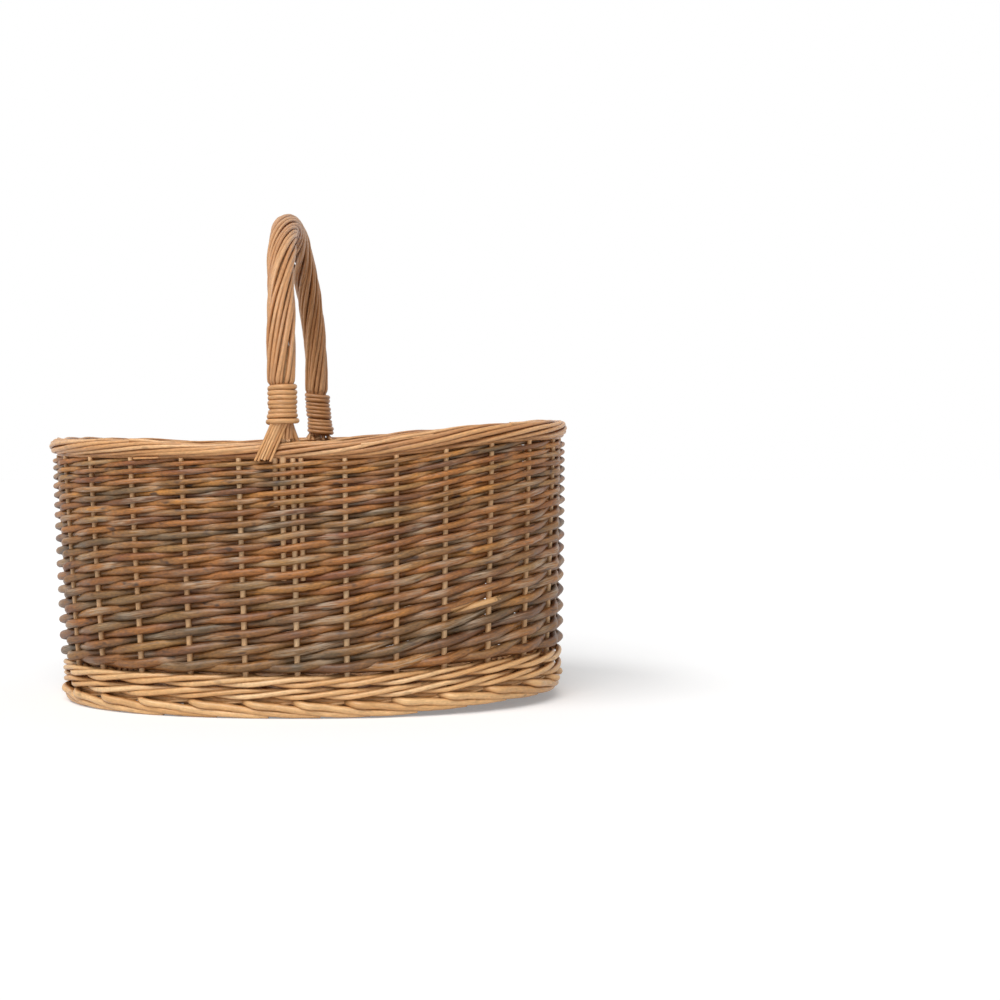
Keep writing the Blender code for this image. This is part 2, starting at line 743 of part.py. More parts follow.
def handle(parts):
    handle_bow(parts)
    for number in range(BUNCHES):
        rope_bunch(number, parts)
    for place in ("front", "rear"):
        collar(place, parts)
        splay(place, parts)
        for side in LINER_LEADS:
            liner(f"liner_{place}_{side}", side, place == "rear", parts)


def main():
    empty_scene()
    parts = collection("willow_basket")
    base(parts)
    for number in range(STAKES):
        stake(number, parts)
    foot_border(parts)
    upsett_wale(parts)
    siding(parts)
    holes = collection("bow_holes")
    bow_holes(holes)
    rim_border(parts, holes)
    handle(parts)


main()
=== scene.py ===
# %% [markdown]
# # A willow shopping basket, woven in Blender
#
# The real object is an oval basket with a roped hoop handle. Almost every part of it is a
# willow rod: bent, woven, twisted or wound. So this script makes one good rod, and then
# works out the paths that the rods follow.
#
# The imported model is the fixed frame. Each piece below goes where the frame's solid is,
# and stands for it in the picture.

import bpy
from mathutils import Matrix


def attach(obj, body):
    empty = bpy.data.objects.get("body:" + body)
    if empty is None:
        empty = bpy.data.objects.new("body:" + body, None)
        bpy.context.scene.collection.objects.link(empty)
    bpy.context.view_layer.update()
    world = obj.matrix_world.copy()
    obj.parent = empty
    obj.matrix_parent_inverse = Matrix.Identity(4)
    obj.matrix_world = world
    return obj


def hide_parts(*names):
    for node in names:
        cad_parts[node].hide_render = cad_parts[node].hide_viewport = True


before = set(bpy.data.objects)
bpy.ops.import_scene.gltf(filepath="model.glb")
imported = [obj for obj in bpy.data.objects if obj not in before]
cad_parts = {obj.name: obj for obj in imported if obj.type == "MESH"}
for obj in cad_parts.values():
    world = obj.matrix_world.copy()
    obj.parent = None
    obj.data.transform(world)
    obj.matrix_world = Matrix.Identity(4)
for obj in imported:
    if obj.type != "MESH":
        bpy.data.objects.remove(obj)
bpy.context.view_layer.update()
print(f"The frame holds {len(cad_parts)} nodes")

# %% Modules
from collections import namedtuple
from math import pi, radians

import bpy
import numpy as np
from mathutils import Vector

# %% [markdown]
# ## The camera
#
# The photograph was taken from a little over the rim, and a hand's breadth to the right of
# the basket's middle. A level camera keeps upright lines upright, and its lens is shifted
# down to frame the basket, as a product photographer does. It comes first because the
# work that follows is judged through it.

# %% Camera
CAMERA_PLACE = (0.1831, -1.8, 0.2678)
LENS = 67.0
LENS_SHIFT = -0.083


def placed(name, data):
    """Puts a camera, a lamp or a mesh into the scene."""
    obj = bpy.data.objects.new(name, data)
    bpy.context.scene.collection.objects.link(obj)
    return obj


camera_data = bpy.data.cameras.new("camera")
camera_data.lens = LENS
camera_data.shift_y = LENS_SHIFT
camera = placed("camera", camera_data)
camera.location = CAMERA_PLACE
camera.rotation_euler = (radians(90), 0, 0)
bpy.context.scene.camera = camera
print(f"Camera {CAMERA_PLACE} with a {LENS:.0f} mm lens")

# %% [markdown]
# ## The basket's own measures
#
# These are the sizes that the solids were made from, in metres. A rod's path is easiest
# to think of in a weaver's terms: how far round the wall (the lead), how high, and how
# far out from the line of the stakes. Everything later is written in these three.

# %% Outline and heights
RIM_LENGTH, RIM_WIDTH, RIM_HEIGHT = 0.4965, 0.332, 0.2475
FOOT_LENGTH, FOOT_WIDTH, FOOT_HEIGHT = 0.4720, 0.3035, 0.0170
FOOT_DEPTH, BORDER_HEIGHT, BORDER_DEPTH = 0.0155, 0.0155, 0.0160
FULLNESS = 2.2
GAP = 0.0003
RIM_LINE = (RIM_LENGTH / 2 - BORDER_DEPTH / 2, RIM_WIDTH / 2 - BORDER_DEPTH / 2)
FOOT_LINE = (FOOT_LENGTH / 2 - FOOT_DEPTH / 2, FOOT_WIDTH / 2 - FOOT_DEPTH / 2)
BORDER_BOTTOM = RIM_HEIGHT - BORDER_HEIGHT
FOOT_SHIFT = 0.0038
print(f"The border runs from {BORDER_BOTTOM * 1000:.0f} to {RIM_HEIGHT * 1000:.0f} mm")


# %% The oval outline
def oval(half_length, half_width, angle):
    """Points of a full oval at some angles, and the directions that point out of it."""
    c, s = np.cos(angle), np.sin(angle)
    x = half_length * np.sign(c) * np.abs(c) ** (2 / FULLNESS)
    y = half_width * np.sign(s) * np.abs(s) ** (2 / FULLNESS)
    out_x = np.sign(c) * np.abs(c) ** (2 - 2 / FULLNESS) / half_length
    out_y = np.sign(s) * np.abs(s) ** (2 - 2 / FULLNESS) / half_width
    size = np.hypot(out_x, out_y)
    return x, y, out_x / size, out_y / size


def added_up(steps):
    """How far along a line each point is, from the lengths of its steps."""
    return np.concatenate([[0.0], np.cumsum(steps)])


ANGLE_STEPS = 2880
ANGLES = np.linspace(-pi / 2, 3 * pi / 2, ANGLE_STEPS + 1)
line_x, line_y = oval(*RIM_LINE, ANGLES)[:2]
REACH = added_up(np.hypot(np.diff(line_x), np.diff(line_y)))
ROUND = float(REACH[-1])
STAKES = 28
PITCH = ROUND / STAKES
RING = np.linspace(0, ROUND, 240)
print(f"The rim is {ROUND * 1000:.0f} mm round, so the stakes stand {PITCH * 1000:.1f} mm apart")

# %% What the maker's hand did to the oval
FOOT_END_LIFT, RIM_END_LIFT = 0.009, 0.016
LIFT_START, LIFT_END = 0.040, 0.230
SPREAD, SPREAD_START, SPREAD_FULL, SPREAD_END = 0.0195, 0.030, 0.215, 0.600


def eased(value, start, end):
    """From 0 at start to 1 at end, slow at both."""
    share = np.clip((value - start) / (end - start), 0, 1)
    return share * share * (3 - 2 * share)


def part_way(start, end, share):
    """From start to end as share goes from 0 to 1."""
    return start + (end - start) * share


def wall_angle(lead):
    """Angle of the oval at a distance round it. At the front left the stakes stand wider."""
    back = ROUND - lead % ROUND
    share = np.clip((back - SPREAD_START) / (SPREAD_FULL - SPREAD_START), 0, 1)
    spread = SPREAD * np.sin(share * pi / 2) * (1 - eased(back, SPREAD_FULL, SPREAD_END))
    return np.interp((lead - spread) % ROUND, REACH, ANGLES)


def lift(x, height):
    """The right-hand end of this handmade basket stands a little higher."""
    return eased(x, LIFT_START, LIFT_END) * (
        FOOT_END_LIFT + (RIM_END_LIFT - FOOT_END_LIFT) * height / RIM_HEIGHT
    )


# %% The wall
def wall(lead, height, out=0.0):
    """Points of the wall, from the distance round it, the height, and the distance out."""
    lead, height, out = np.broadcast_arrays(np.asarray(lead, float), height, out)
    angle = wall_angle(lead)
    share = height / RIM_HEIGHT
    half_length = part_way(FOOT_LINE[0], RIM_LINE[0], share)
    half_width = part_way(FOOT_LINE[1], RIM_LINE[1], share)
    x, y, out_x, out_y = oval(half_length, half_width, angle)
    x = x + FOOT_SHIFT * (1 - share) + out * out_x
    y = y + out * out_y
    return np.stack([x, y, height + lift(x, height)], axis=-1)


print("Front middle of the rim:", wall(0, RIM_HEIGHT).round(4))

# %% [markdown]
# ## Writing shader sums as Python
#
# Willow's colour comes from many small sums of noises. Adding each Math node by hand hides
# the idea behind it, so one small class wraps a socket: an expression on it adds the
# nodes. The same class adds any other node, with its settings first and its inputs next.


# %% A socket that can be added and multiplied
class Wire:
    """A node's output in a tree. Sums on it add Math nodes, and node() adds any other."""

    def __init__(self, tree, made=None, output=0):
        self.tree, self.made, self.output = tree, made, output

    def node(self, kind, settings=None, inputs=None, output=0):
        made = self.tree.nodes.new(kind)
        for name, value in (settings or {}).items():
            if name == "stops":
                set_stops(made.color_ramp, value)
            else:
                setattr(made, name, value)
        for place, value in (inputs or {}).items():
            if isinstance(value, Wire):
                self.tree.links.new(value.made.outputs[value.output], made.inputs[place])
            else:
                made.inputs[place].default_value = value
        return Wire(self.tree, made, output)

    def other(self, output):
        return Wire(self.tree, self.made, output)

    def vector(self, operation, inputs, output=0):
        return self.node("ShaderNodeVectorMath", {"operation": operation}, inputs, output)

    def sum(self, operation, first, second):
        return self.node("ShaderNodeMath", {"operation": operation}, {0: first, 1: second})

    def __add__(self, value):
        return self.sum("ADD", self, value)

    def __sub__(self, value):
        return self.sum("SUBTRACT", self, value)

    def __mul__(self, value):
        return self.sum("MULTIPLY", self, value)

    def __rsub__(self, value):
        return self.sum("SUBTRACT", value, self)

    def __gt__(self, value):
        return self.sum("GREATER_THAN", self, value)

    def __abs__(self):
        return self.node("ShaderNodeMath", {"operation": "ABSOLUTE"}, {0: self})

    __radd__ = __add__
    __rmul__ = __mul__


def set_stops(ramp, stops):
    """Fills a colour ramp from (place, colour) pairs."""
    while len(ramp.elements) > 1:
        ramp.elements.remove(ramp.elements[-1])
    for i, (place, colour) in enumerate(stops):
        element = ramp.elements[0] if i == 0 else ramp.elements.new(place)
        element.position = place
        element.color = colour


def srgb(red, green, blue):
    """A colour as a screen names it, from 0 to 255, in the linear values of a shader."""
    parts = np.array([red, green, blue]) / 255
    linear = np.where(parts <= 0.04045, parts / 12.92, ((parts + 0.055) / 1.055) ** 2.4)
    return (*(float(part) for part in linear), 1.0)


def blank(block):
    """The emptied node tree of a material or of the world, wrapped."""
    block.use_nodes = True
    block.node_tree.nodes.clear()
    return Wire(block.node_tree)


# %% [markdown]
# ## One good rod
#
# A willow rod is round, tapers from its butt to its tip, is never quite straight, and is
# cut off square or on the slant. Geometry Nodes suit it well: the script gives only the
# line that each rod follows, and one tree turns all the lines of a piece into rods. The
# tree also stores, at every point, how far along the rod it lies and where it is round
# it, so that grain and bark can follow the bend. Rods that lie side by side touch along
# their edges, and the materials paint shade there, darker and browner. So each line also
# knows which way is out of its bundle, and the tree stores how squarely each point faces
# that way.


# %% The tree that grows rods
RODS_TAKE = {
    "Lines": "Geometry",
    "Sides": "Int",
    "Crookedness": "Float",
    "Seed": "Float",
    "Willow": "Material",
}
SEED_SPREAD, BUMP_SCALE = 37, 110.0


def named(wire, name, kind="FLOAT"):
    return wire.node("GeometryNodeInputNamedAttribute", {"data_type": kind}, {"Name": name})


def store(wire, shape, name, kind, value):
    settings = {"data_type": kind, "domain": "POINT"}
    inputs = {"Geometry": shape, "Name": name, "Value": value}
    return wire.node("GeometryNodeStoreNamedAttribute", settings, inputs)


def willow_rod_tree():
    tree = bpy.data.node_groups.new("willow_rods", "GeometryNodeTree")
    for name, kind in RODS_TAKE.items():
        tree.interface.new_socket(name, in_out="INPUT", socket_type="NodeSocket" + kind)
    tree.interface.new_socket("Rods", in_out="OUTPUT", socket_type="NodeSocketGeometry")
    wire = Wire(tree)
    given = wire.node("NodeGroupInput")
    line = wire.node("GeometryNodeMeshToCurve", inputs={"Mesh": given})
    ring = {"Resolution": given.other("Sides"), "Radius": 1.0}
    ring = wire.node("GeometryNodeCurvePrimitiveCircle", {"mode": "RADIUS"}, ring)
    place = wire.node("GeometryNodeInputPosition")
    ring = store(wire, ring, "around", "FLOAT_VECTOR", place)
    thick = named(wire, "rod_radius")
    skin = {"Curve": line, "Profile Curve": ring, "Scale": thick, "Fill Caps": True}
    skin = wire.node("GeometryNodeCurveToMesh", inputs=skin)
    across = wire.node("ShaderNodeSeparateXYZ", inputs={0: named(wire, "around", "FLOAT_VECTOR")})
    lay = {0: named(wire, "along"), 1: across * thick, 2: across.other(1) * thick}
    lay = wire.node("ShaderNodeCombineXYZ", inputs=lay)
    skin = store(wire, skin, "lay", "FLOAT_VECTOR", lay)
    normal = wire.node("GeometryNodeInputNormal")
    outward = named(wire, "outward", "FLOAT_VECTOR")
    # How squarely each point faces out of its bundle; the materials paint shade where it turns
    # away.
    facing = wire.vector("DOT_PRODUCT", {0: normal, 1: outward}, "Value")
    skin = store(wire, skin, "facing", "FLOAT", abs(facing))
    seed = {1: given.other("Seed"), 2: named(wire, "tone") * SEED_SPREAD}
    where = wire.vector("ADD", {0: lay, 1: wire.node("ShaderNodeCombineXYZ", inputs=seed)})
    bumps = {"Vector": where, "Scale": BUMP_SCALE, "Detail": 1.0}
    bumps = (wire.node("ShaderNodeTexNoise", inputs=bumps) - 0.5) * given.other("Crookedness")
    push = wire.vector("SCALE", {0: normal, "Scale": bumps})
    skin = wire.node("GeometryNodeSetPosition", inputs={"Geometry": skin, "Offset": push})
    skin = wire.node("GeometryNodeSetShadeSmooth", inputs={"Geometry": skin})
    skin = wire.node("GeometryNodeRealizeInstances", inputs={"Geometry": skin})
    skin = {"Geometry": skin, "Material": given.other("Willow")}
    skin = wire.node("GeometryNodeSetMaterial", inputs=skin)
    wire.node("NodeGroupOutput", inputs={"Rods": skin})
    return tree


WILLOW_RODS = willow_rod_tree()
print(f"The rod tree has {len(WILLOW_RODS.nodes)} nodes")

# %% From lines to a piece
Rod = namedtuple("Rod", "points radii tone outward", defaults=[None])
TONE_SHIFT = 3


def rod(points, butt, tip=None, tone=0.5, outward=None):
    """One rod along points, tapering from butt to tip."""
    points = np.asarray(points, float)
    radii = np.linspace(butt, butt if tip is None else tip, len(points))
    return Rod(points, radii, tone, outward)


def out_of_wall(points):
    """Which way is level and out of the basket, at some points."""
    flat = points[:, :2] / np.array(RIM_LINE) ** 2
    flat = flat / (np.linalg.norm(flat, axis=1, keepdims=True) + 1e-9)
    return np.column_stack([flat, np.zeros(len(points))])


def along(r):
    """How far along a rod its points are. Each tone starts elsewhere in the grain."""
    return added_up(np.linalg.norm(np.diff(r.points, axis=0), axis=1)) + TONE_SHIFT * r.tone


def lines_mesh(name, rods):
    """All the rods' lines as one mesh of edges, with what the tree needs on its points."""
    mesh = bpy.data.meshes.new(name)
    edges, start = [], 0
    for r in rods:
        steps = start + np.arange(len(r.points) - 1)
        edges.append(np.stack([steps, steps + 1], axis=1))
        start += len(r.points)
    points = np.concatenate([r.points for r in rods])
    mesh.from_pydata(points.tolist(), np.concatenate(edges).tolist(), [])
    values = {
        "rod_radius": [r.radii for r in rods],
        "along": [along(r) for r in rods],
        "tone": [np.full(len(r.points), r.tone) for r in rods],
    }
    for label, parts in values.items():
        numbers = np.concatenate(parts).astype(np.float32)
        mesh.attributes.new(label, "FLOAT", "POINT").data.foreach_set("value", numbers)
    outward = [out_of_wall(r.points) if r.outward is None else r.outward for r in rods]
    facing = mesh.attributes.new("outward", "FLOAT_VECTOR", "POINT")
    facing.data.foreach_set("vector", np.concatenate(outward).astype(np.float32).ravel())
    return mesh


def grow(name, rods, willow, sides=12, crookedness=0.0004, seed=1.0):
    """Makes a piece from rods: the tree grows them, and its result becomes a plain mesh."""
    obj = placed(name, lines_mesh(name + "_lines", rods))
    step = obj.modifiers.new("willow_rods", "NODES")
    step.node_group = WILLOW_RODS
    wanted = {"Sides": sides, "Crookedness": crookedness, "Seed": seed, "Willow": willow}
    for socket in WILLOW_RODS.interface.items_tree:
        if socket.name in wanted:
            step[socket.identifier] = wanted[socket.name]
    bpy.context.view_layer.update()
    grown = obj.evaluated_get(bpy.context.evaluated_depsgraph_get())
    mesh = bpy.data.meshes.new_from_object(grown)
    obj.modifiers.remove(step)
    obj.data = mesh
    mesh.name = name
    triangles = sum(len(p.vertices) - 2 for p in mesh.polygons)
    print(f"{name}: {len(rods)} rods, {triangles} triangles")
    return obj


def stands_for(piece, slot, *nodes):
    """The piece takes the place of the frame's nodes and moves with the basket."""
    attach(piece, "root")
    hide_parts(*nodes)
    return piece


# %% [markdown]
# ## Willow as a material
#
# The siding keeps its bark: brown, olive and rust rods with dark buds, and grey streaks
# that are partly worn bark and partly painted sheen. The stakes, the bow and the rope are
# peeled, with long fine grain. The stakes, the bow and the liners take a paler copy of it,
# partly painted light, for where the stakes and liners stand back in the wall's shade. The
# rim border, the collars and the splays are buff, and the foot is golden. All are the same
# recipe with other colours: a ramp picks a colour for each rod, slow noise changes it along
# the rod, noise stretched along the rod draws the grain, and painted shade turns each rod
# darker and browner along the sides where it touches its neighbours.


# %% Small steps of the recipe
def mixed(wire, factor, first, second, blend="MIX"):
    """Two colours mixed by a factor, or multiplied."""
    settings = {"data_type": "RGBA", "blend_type": blend}
    return wire.node("ShaderNodeMix", settings, {"Factor": factor, 6: first, 7: second}, output=2)


def noise(wire, place, scale=1.0, detail=2.0):
    inputs = {"Vector": place, "Scale": scale, "Detail": detail}
    return wire.node("ShaderNodeTexNoise", inputs=inputs)


def streaks(wire, lay, waves, detail=2.0):
    """Noise drawn out along a rod. Waves says how many come in a metre, along and across."""
    along, across = waves
    return noise(wire, wire.vector("MULTIPLY", {0: lay, 1: (along, across, across)}), 1.0, detail)


def ranged(wire, value, low, high, to_low=0.0, to_high=1.0):
    inputs = {0: value, 1: low, 2: high, 3: to_low, 4: to_high}
    return wire.node("ShaderNodeMapRange", inputs=inputs)


def stored(wire, name, output="Fac"):
    """A value that the rod tree has stored on the points."""
    return wire.node("ShaderNodeAttribute", {"attribute_name": name}, output=output)


def ramp(wire, colours, place):
    """The colour at a place, from a table of places and colours."""
    stops = [(stop, srgb(*colour)) for stop, colour in colours.items()]
    return wire.node("ShaderNodeValToRGB", {"stops": stops}, {0: place}, output="Color")


def wood_surface(wire, colour, roughness, height):
    """The shader that each wood ends in."""
    bump = {"Strength": 0.35, "Distance": 0.0004, "Height": height}
    wood = {"Base Color": colour, "Roughness": roughness}
    wood["Normal"] = wire.node("ShaderNodeBump", inputs=bump)
    surface = wire.node("ShaderNodeBsdfPrincipled", inputs=wood)
    wire.node("ShaderNodeOutputMaterial", inputs={"Surface": surface})


# %% Where one rod has lost its bark
BARE_SLOPE, BARE_RAGGED, BARE_STRENGTH = 0.26, 0.02, 0.85
BARE_LENGTH, BARE_WIDTH, BARE_DEPTH = (0.022, 0.018), (0.0032, 0.0022), (0.03, 0.02)


def bare_patch(wire, middle, rough):
    """A mask round one place on the wall, long and narrow, with ragged ends."""
    place = wire.node("ShaderNodeTexCoord", output="Object")
    away = wire.vector("SUBTRACT", {0: place, 1: middle})
    away = wire.node("ShaderNodeSeparateXYZ", inputs={0: away})
    across = abs(away.other(2) - away * BARE_SLOPE)
    beside = abs(away + (rough - 0.5) * BARE_RAGGED)
    patch = ranged(wire, beside, *BARE_LENGTH) * ranged(wire, across, *BARE_WIDTH)
    return patch * ranged(wire, away.other(1), *BARE_DEPTH) * BARE_STRENGTH


# %% The recipe
SLOW_WAVES, GRAIN_WAVES, ROUGH_WAVES = (8.0, 30.0), (120.0, 1100.0), (280.0, 520.0)
BUD_WAVES, PATCH_WAVES, WEAR_AND_SHEEN_WAVES = (70.0, 170.0), (18.0, 55.0), (60.0, 900.0)
NOISE_RANGE = (0.3, 0.7)
BUTT_RADII, OLD_RADII = (0.0018, 0.0042), (0.0028, 0.0046)
OLD_BARK, BUD_BROWN, WEAR_AND_SHEEN_GREY = srgb(104, 86, 60), srgb(64, 42, 28), srgb(198, 178, 152)
BARE_WOOD, CUT_WOOD = srgb(214, 166, 110), srgb(226, 198, 158)
# Painted shade where rods touch: a power for red, green and blue, so that it darkens towards brown,
# and the facings between which it fades out.
EDGE_SHADE_POWERS, EDGE_SHADE_STOPS = (0.8, 1.2, 1.7), (0.16, 0.84)
TONE_DRIFT, SKIN_EDGE = 0.6, 0.93


def willow(name, colours, grain, mottle, gloss, buds, bloom_and_sheen, cut, edges, butt=1, age=0, bare=None):
    """A rod's material. Colours is a ramp, the rest say how strong each detail is, painted shade
    and painted sheen among them.
    """
    material = bpy.data.materials.new(name)
    wire = blank(material)
    lay, around = stored(wire, "lay", "Vector"), stored(wire, "around", "Vector")
    tone, thick, facing = (stored(wire, label) for label in ("tone", "rod_radius", "facing"))
    slow = streaks(wire, lay, SLOW_WAVES)
    fine = streaks(wire, lay, GRAIN_WAVES, 3.0)
    rough = streaks(wire, lay, ROUGH_WAVES)
    colour = ramp(wire, colours, tone + (slow - 0.5) * TONE_DRIFT)
    old = ranged(wire, thick, *OLD_RADII) * ranged(wire, slow, 0.40, 0.58) * age
    colour = mixed(wire, old, colour, OLD_BARK)
    shade = ranged(wire, fine, *NOISE_RANGE, 1 - grain, 1 + grain)
    shade = shade * ranged(wire, thick, *BUTT_RADII, 1, butt)
    shade = shade * ranged(wire, rough, *NOISE_RANGE, 1 - mottle, 1 + mottle)
    colour = mixed(wire, 1.0, colour, shade, "MULTIPLY")
    # Painted shade: each rod turns darker and browner towards the sides that face away from the
    # outside of its bundle, where its neighbours touch it.
    brown = tuple((1 - edges) ** power for power in EDGE_SHADE_POWERS)
    stops = list(zip(EDGE_SHADE_STOPS, [(*brown, 1), (1, 1, 1, 1)]))
    edge = wire.node("ShaderNodeValToRGB", {"stops": stops}, {0: facing}, output="Color")
    colour = mixed(wire, 1.0, colour, edge, "MULTIPLY")
    bud = ranged(wire, streaks(wire, lay, BUD_WAVES, 1.0), 0.70 - 0.06 * buds, 0.76)
    colour = mixed(wire, bud * buds, colour, BUD_BROWN)
    # Grey streaky patches at random along the rods: partly worn bark, partly painted sheen.
    patch = ranged(wire, streaks(wire, lay, PATCH_WAVES, 1.0), 0.50, 0.66)
    wear_and_sheen = ranged(wire, streaks(wire, lay, WEAR_AND_SHEEN_WAVES, 3.0), 0.42, 0.60)
    colour = mixed(wire, patch * wear_and_sheen * bloom_and_sheen, colour, WEAR_AND_SHEEN_GREY)
    if bare:
        colour = mixed(wire, bare_patch(wire, bare, rough), colour, BARE_WOOD)
    end = 1 - (wire.vector("LENGTH", {0: around}, "Value") > SKIN_EDGE)
    colour = mixed(wire, end * cut, colour, CUT_WOOD)
    roughness = ranged(wire, rough, *NOISE_RANGE, gloss - 0.08, gloss + 0.1)
    wood_surface(wire, colour, roughness, fine * 0.5 + rough * 0.5)
    return material


# %% Willow with its bark
BARK_COLOURS = {
    0.00: (114, 72, 40),
    0.14: (174, 112, 52),
    0.28: (138, 99, 54),
    0.40: (168, 104, 46),
    0.52: (104, 82, 54),
    0.62: (184, 124, 56),
    0.74: (132, 78, 42),
    0.88: (162, 120, 68),
    1.00: (150, 92, 42),
}
BARK_DETAIL = dict(grain=0.30, mottle=0.26, gloss=0.44, buds=0.9, bloom_and_sheen=0.55, cut=0.8, edges=0.46)
BARE_PLACE = (0.1605, -0.1157, 0.0986)
BARK = willow("willow_bark", BARK_COLOURS, **BARK_DETAIL, butt=0.82, age=0.55, bare=BARE_PLACE)
print("Material:", BARK.name)

# %% Willow without it
PALE_PLACES = (0.0, 0.35, 0.7, 1.0)
PALE_WILLOWS = {
    "peeled_willow": (
        [(186, 133, 87), (207, 155, 106), (196, 139, 89), (215, 167, 120)],
        dict(grain=0.16, mottle=0.10, gloss=0.42, buds=0.3, bloom_and_sheen=0.1, edges=0.42),
    ),
    "buff_willow": (
        [(188, 132, 82), (220, 167, 112), (204, 148, 93), (230, 182, 131)],
        dict(grain=0.20, mottle=0.12, gloss=0.38, buds=0.3, bloom_and_sheen=0.15, edges=0.62),
    ),
    "golden_willow": (
        [(206, 156, 100), (228, 184, 130), (214, 162, 104), (236, 196, 146)],
        dict(grain=0.16, mottle=0.10, gloss=0.38, buds=0.35, bloom_and_sheen=0.1, edges=0.54),
    ),
    # A paler copy of the peeled willow for the stakes, the bow and the liners, partly painted
    # light: the stakes and liners stand back among the siding rods in shade, and the paler colour
    # keeps them bright there.
    "peeled_stakes": (
        [(231, 180, 129), (245, 202, 152), (237, 188, 135), (249, 210, 162)],
        dict(grain=0.12, mottle=0.08, gloss=0.50, buds=0.3, bloom_and_sheen=0.1, edges=0.30),
    ),
}
PEELED, BUFF, GOLDEN, STAKE_WILLOW = (
    willow(name, dict(zip(PALE_PLACES, colours)), cut=0.6, **detail)
    for name, (colours, detail) in PALE_WILLOWS.items()
)
print("Materials:", list(PALE_WILLOWS))

# %% [markdown]
# ## Stakes
#
# Twenty-eight peeled stakes stand up through the wall. Each leaves the base, bends up
# sharply at the foot and runs straight to the border. Their thickness sets the weave, so
# its rule is written first.

# %% Stakes
BASE_HEIGHT = 0.0203
BASE_EDGE_INSET = 0.009
STAKE_LEG = 0.009
STAKE_BEND = 0.0035
STAKE_BUTT_RADIUS, STAKE_TIP_RADIUS = 0.0029, 0.0024


def tones(seed, count):
    """A tone from 0 to 1 for each rod, spread evenly and then shuffled."""
    dice = np.random.default_rng(seed)
    return dice.permutation((np.arange(count) + 0.5) / count)


def stake_radius(height):
    return STAKE_BUTT_RADIUS + (STAKE_TIP_RADIUS - STAKE_BUTT_RADIUS) * height / RIM_HEIGHT


def stake_line(lead):
    leg = wall(lead, BASE_HEIGHT, np.linspace(-(BASE_EDGE_INSET + STAKE_LEG), -STAKE_BEND, 6))
    turn = np.linspace(0, pi / 2, 6)[1:-1]
    rise = BASE_HEIGHT + STAKE_BEND * (1 - np.cos(turn))
    bend = wall(lead, rise, STAKE_BEND * (np.sin(turn) - 1))
    upright = wall(lead, np.linspace(BASE_HEIGHT + STAKE_BEND, BORDER_BOTTOM - GAP, 40))
    return np.concatenate([leg, bend, upright])


stakes = [
    rod(stake_line(n * PITCH), STAKE_BUTT_RADIUS, STAKE_TIP_RADIUS, tone)
    for n, tone in enumerate(tones(3, STAKES))
]
stakes = grow("stakes", stakes, STAKE_WILLOW, crookedness=0.0005)
stands_for(stakes, "peeled_willow", *[f"stake_{n + 1:02d}" for n in range(STAKES)])

# %% [markdown]
# ## Siding
#
# The wall is French randing. Each of the 28 brown rods passes in front of one stake and
# behind the next, and climbs one row at each stake, so every rod runs once and a quarter
# round the basket from its thick butt to its thin tip. The path has only a few fixed
# places, one at each stake. Between them the rod swings from side to side in an easy
# curve, which gives the wedge-shaped dark gaps that this weave shows.

# %% Rows of the weave
WALE_RADIUS, WALE_STEP, WALE_ROUNDS, WALE_SEAT = 0.0025, 0.0054, 2, 0.0007
WALE_LOW = FOOT_HEIGHT - WALE_SEAT + GAP + WALE_RADIUS
WALE_BACK = max(WALE_LOW + WALE_STEP, BASE_HEIGHT + STAKE_BUTT_RADIUS + GAP + WALE_RADIUS)
WALE_ROUND = 2 * WALE_STEP
WALE_TOP = WALE_BACK + (WALE_ROUNDS - 1) * WALE_ROUND + WALE_RADIUS
ROWS, ROD_TAPER, ROW_GAP = 34, 0.34, 0.0006
ROW_PITCH = (BORDER_BOTTOM - WALE_TOP - 2 * GAP + ROW_GAP) / (ROWS + 1)
FIRST_PITCH, LAST_PITCH = ROW_PITCH * (1 + ROD_TAPER), ROW_PITCH * (1 - ROD_TAPER)
FIRST_ROW = WALE_TOP + GAP + (FIRST_PITCH - ROW_GAP) / 2


def row_height(row):
    row = np.maximum(row, 0)
    return FIRST_ROW + FIRST_PITCH * row - (FIRST_PITCH - LAST_PITCH) * row * row / (2 * ROWS)


def row_radius(row):
    share = np.clip(row, 0, ROWS) / ROWS
    return (part_way(FIRST_PITCH, LAST_PITCH, share) - ROW_GAP) / 2


butt, tip = 2000 * row_radius(0), 2000 * row_radius(ROWS)
print(f"Rods are {butt:.1f} mm thick at the foot and {tip:.1f} mm under the border")

# %% What stands beside a stake at the handle
BOW_LEAD = -0.0085
BOW_DEPTH = 0.1245
BOW_END_HEIGHT = RIM_HEIGHT - BOW_DEPTH
BOW_TIP_RADIUS, BOW_RIM_RADIUS, BOW_COLLAR_RADIUS, BOW_RADIUS = 0.0024, 0.0030, 0.0051, 0.0065
LINER_RADIUS = 0.0024
LINER_LEADS = {"left": -0.0160, "right": 0.0071}
LINER_DEPTHS = {"left": 0.0590, "right": 0.1245}


def leg_radius(height):
    share = eased(height, BOW_END_HEIGHT, BORDER_BOTTOM)
    return part_way(BOW_TIP_RADIUS, BOW_RIM_RADIUS, share)


def post(height, rear):
    """The group that a rod passes as one at a handle stake: its two sides and its half depth."""
    left, right, depth = 0.0, 0.0, stake_radius(height)
    if height > BOW_END_HEIGHT:
        left, depth = BOW_LEAD - leg_radius(height), max(depth, leg_radius(height))
    if height > RIM_HEIGHT - LINER_DEPTHS["left"]:
        left = LINER_LEADS["left"] - LINER_RADIUS
    if height > RIM_HEIGHT - LINER_DEPTHS["right"]:
        right = LINER_LEADS["right"] + LINER_RADIUS
    return (-right, -left, depth) if rear else (left, right, depth)


print("The handle's legs go down to", round(BOW_END_HEIGHT * 1000), "mm")


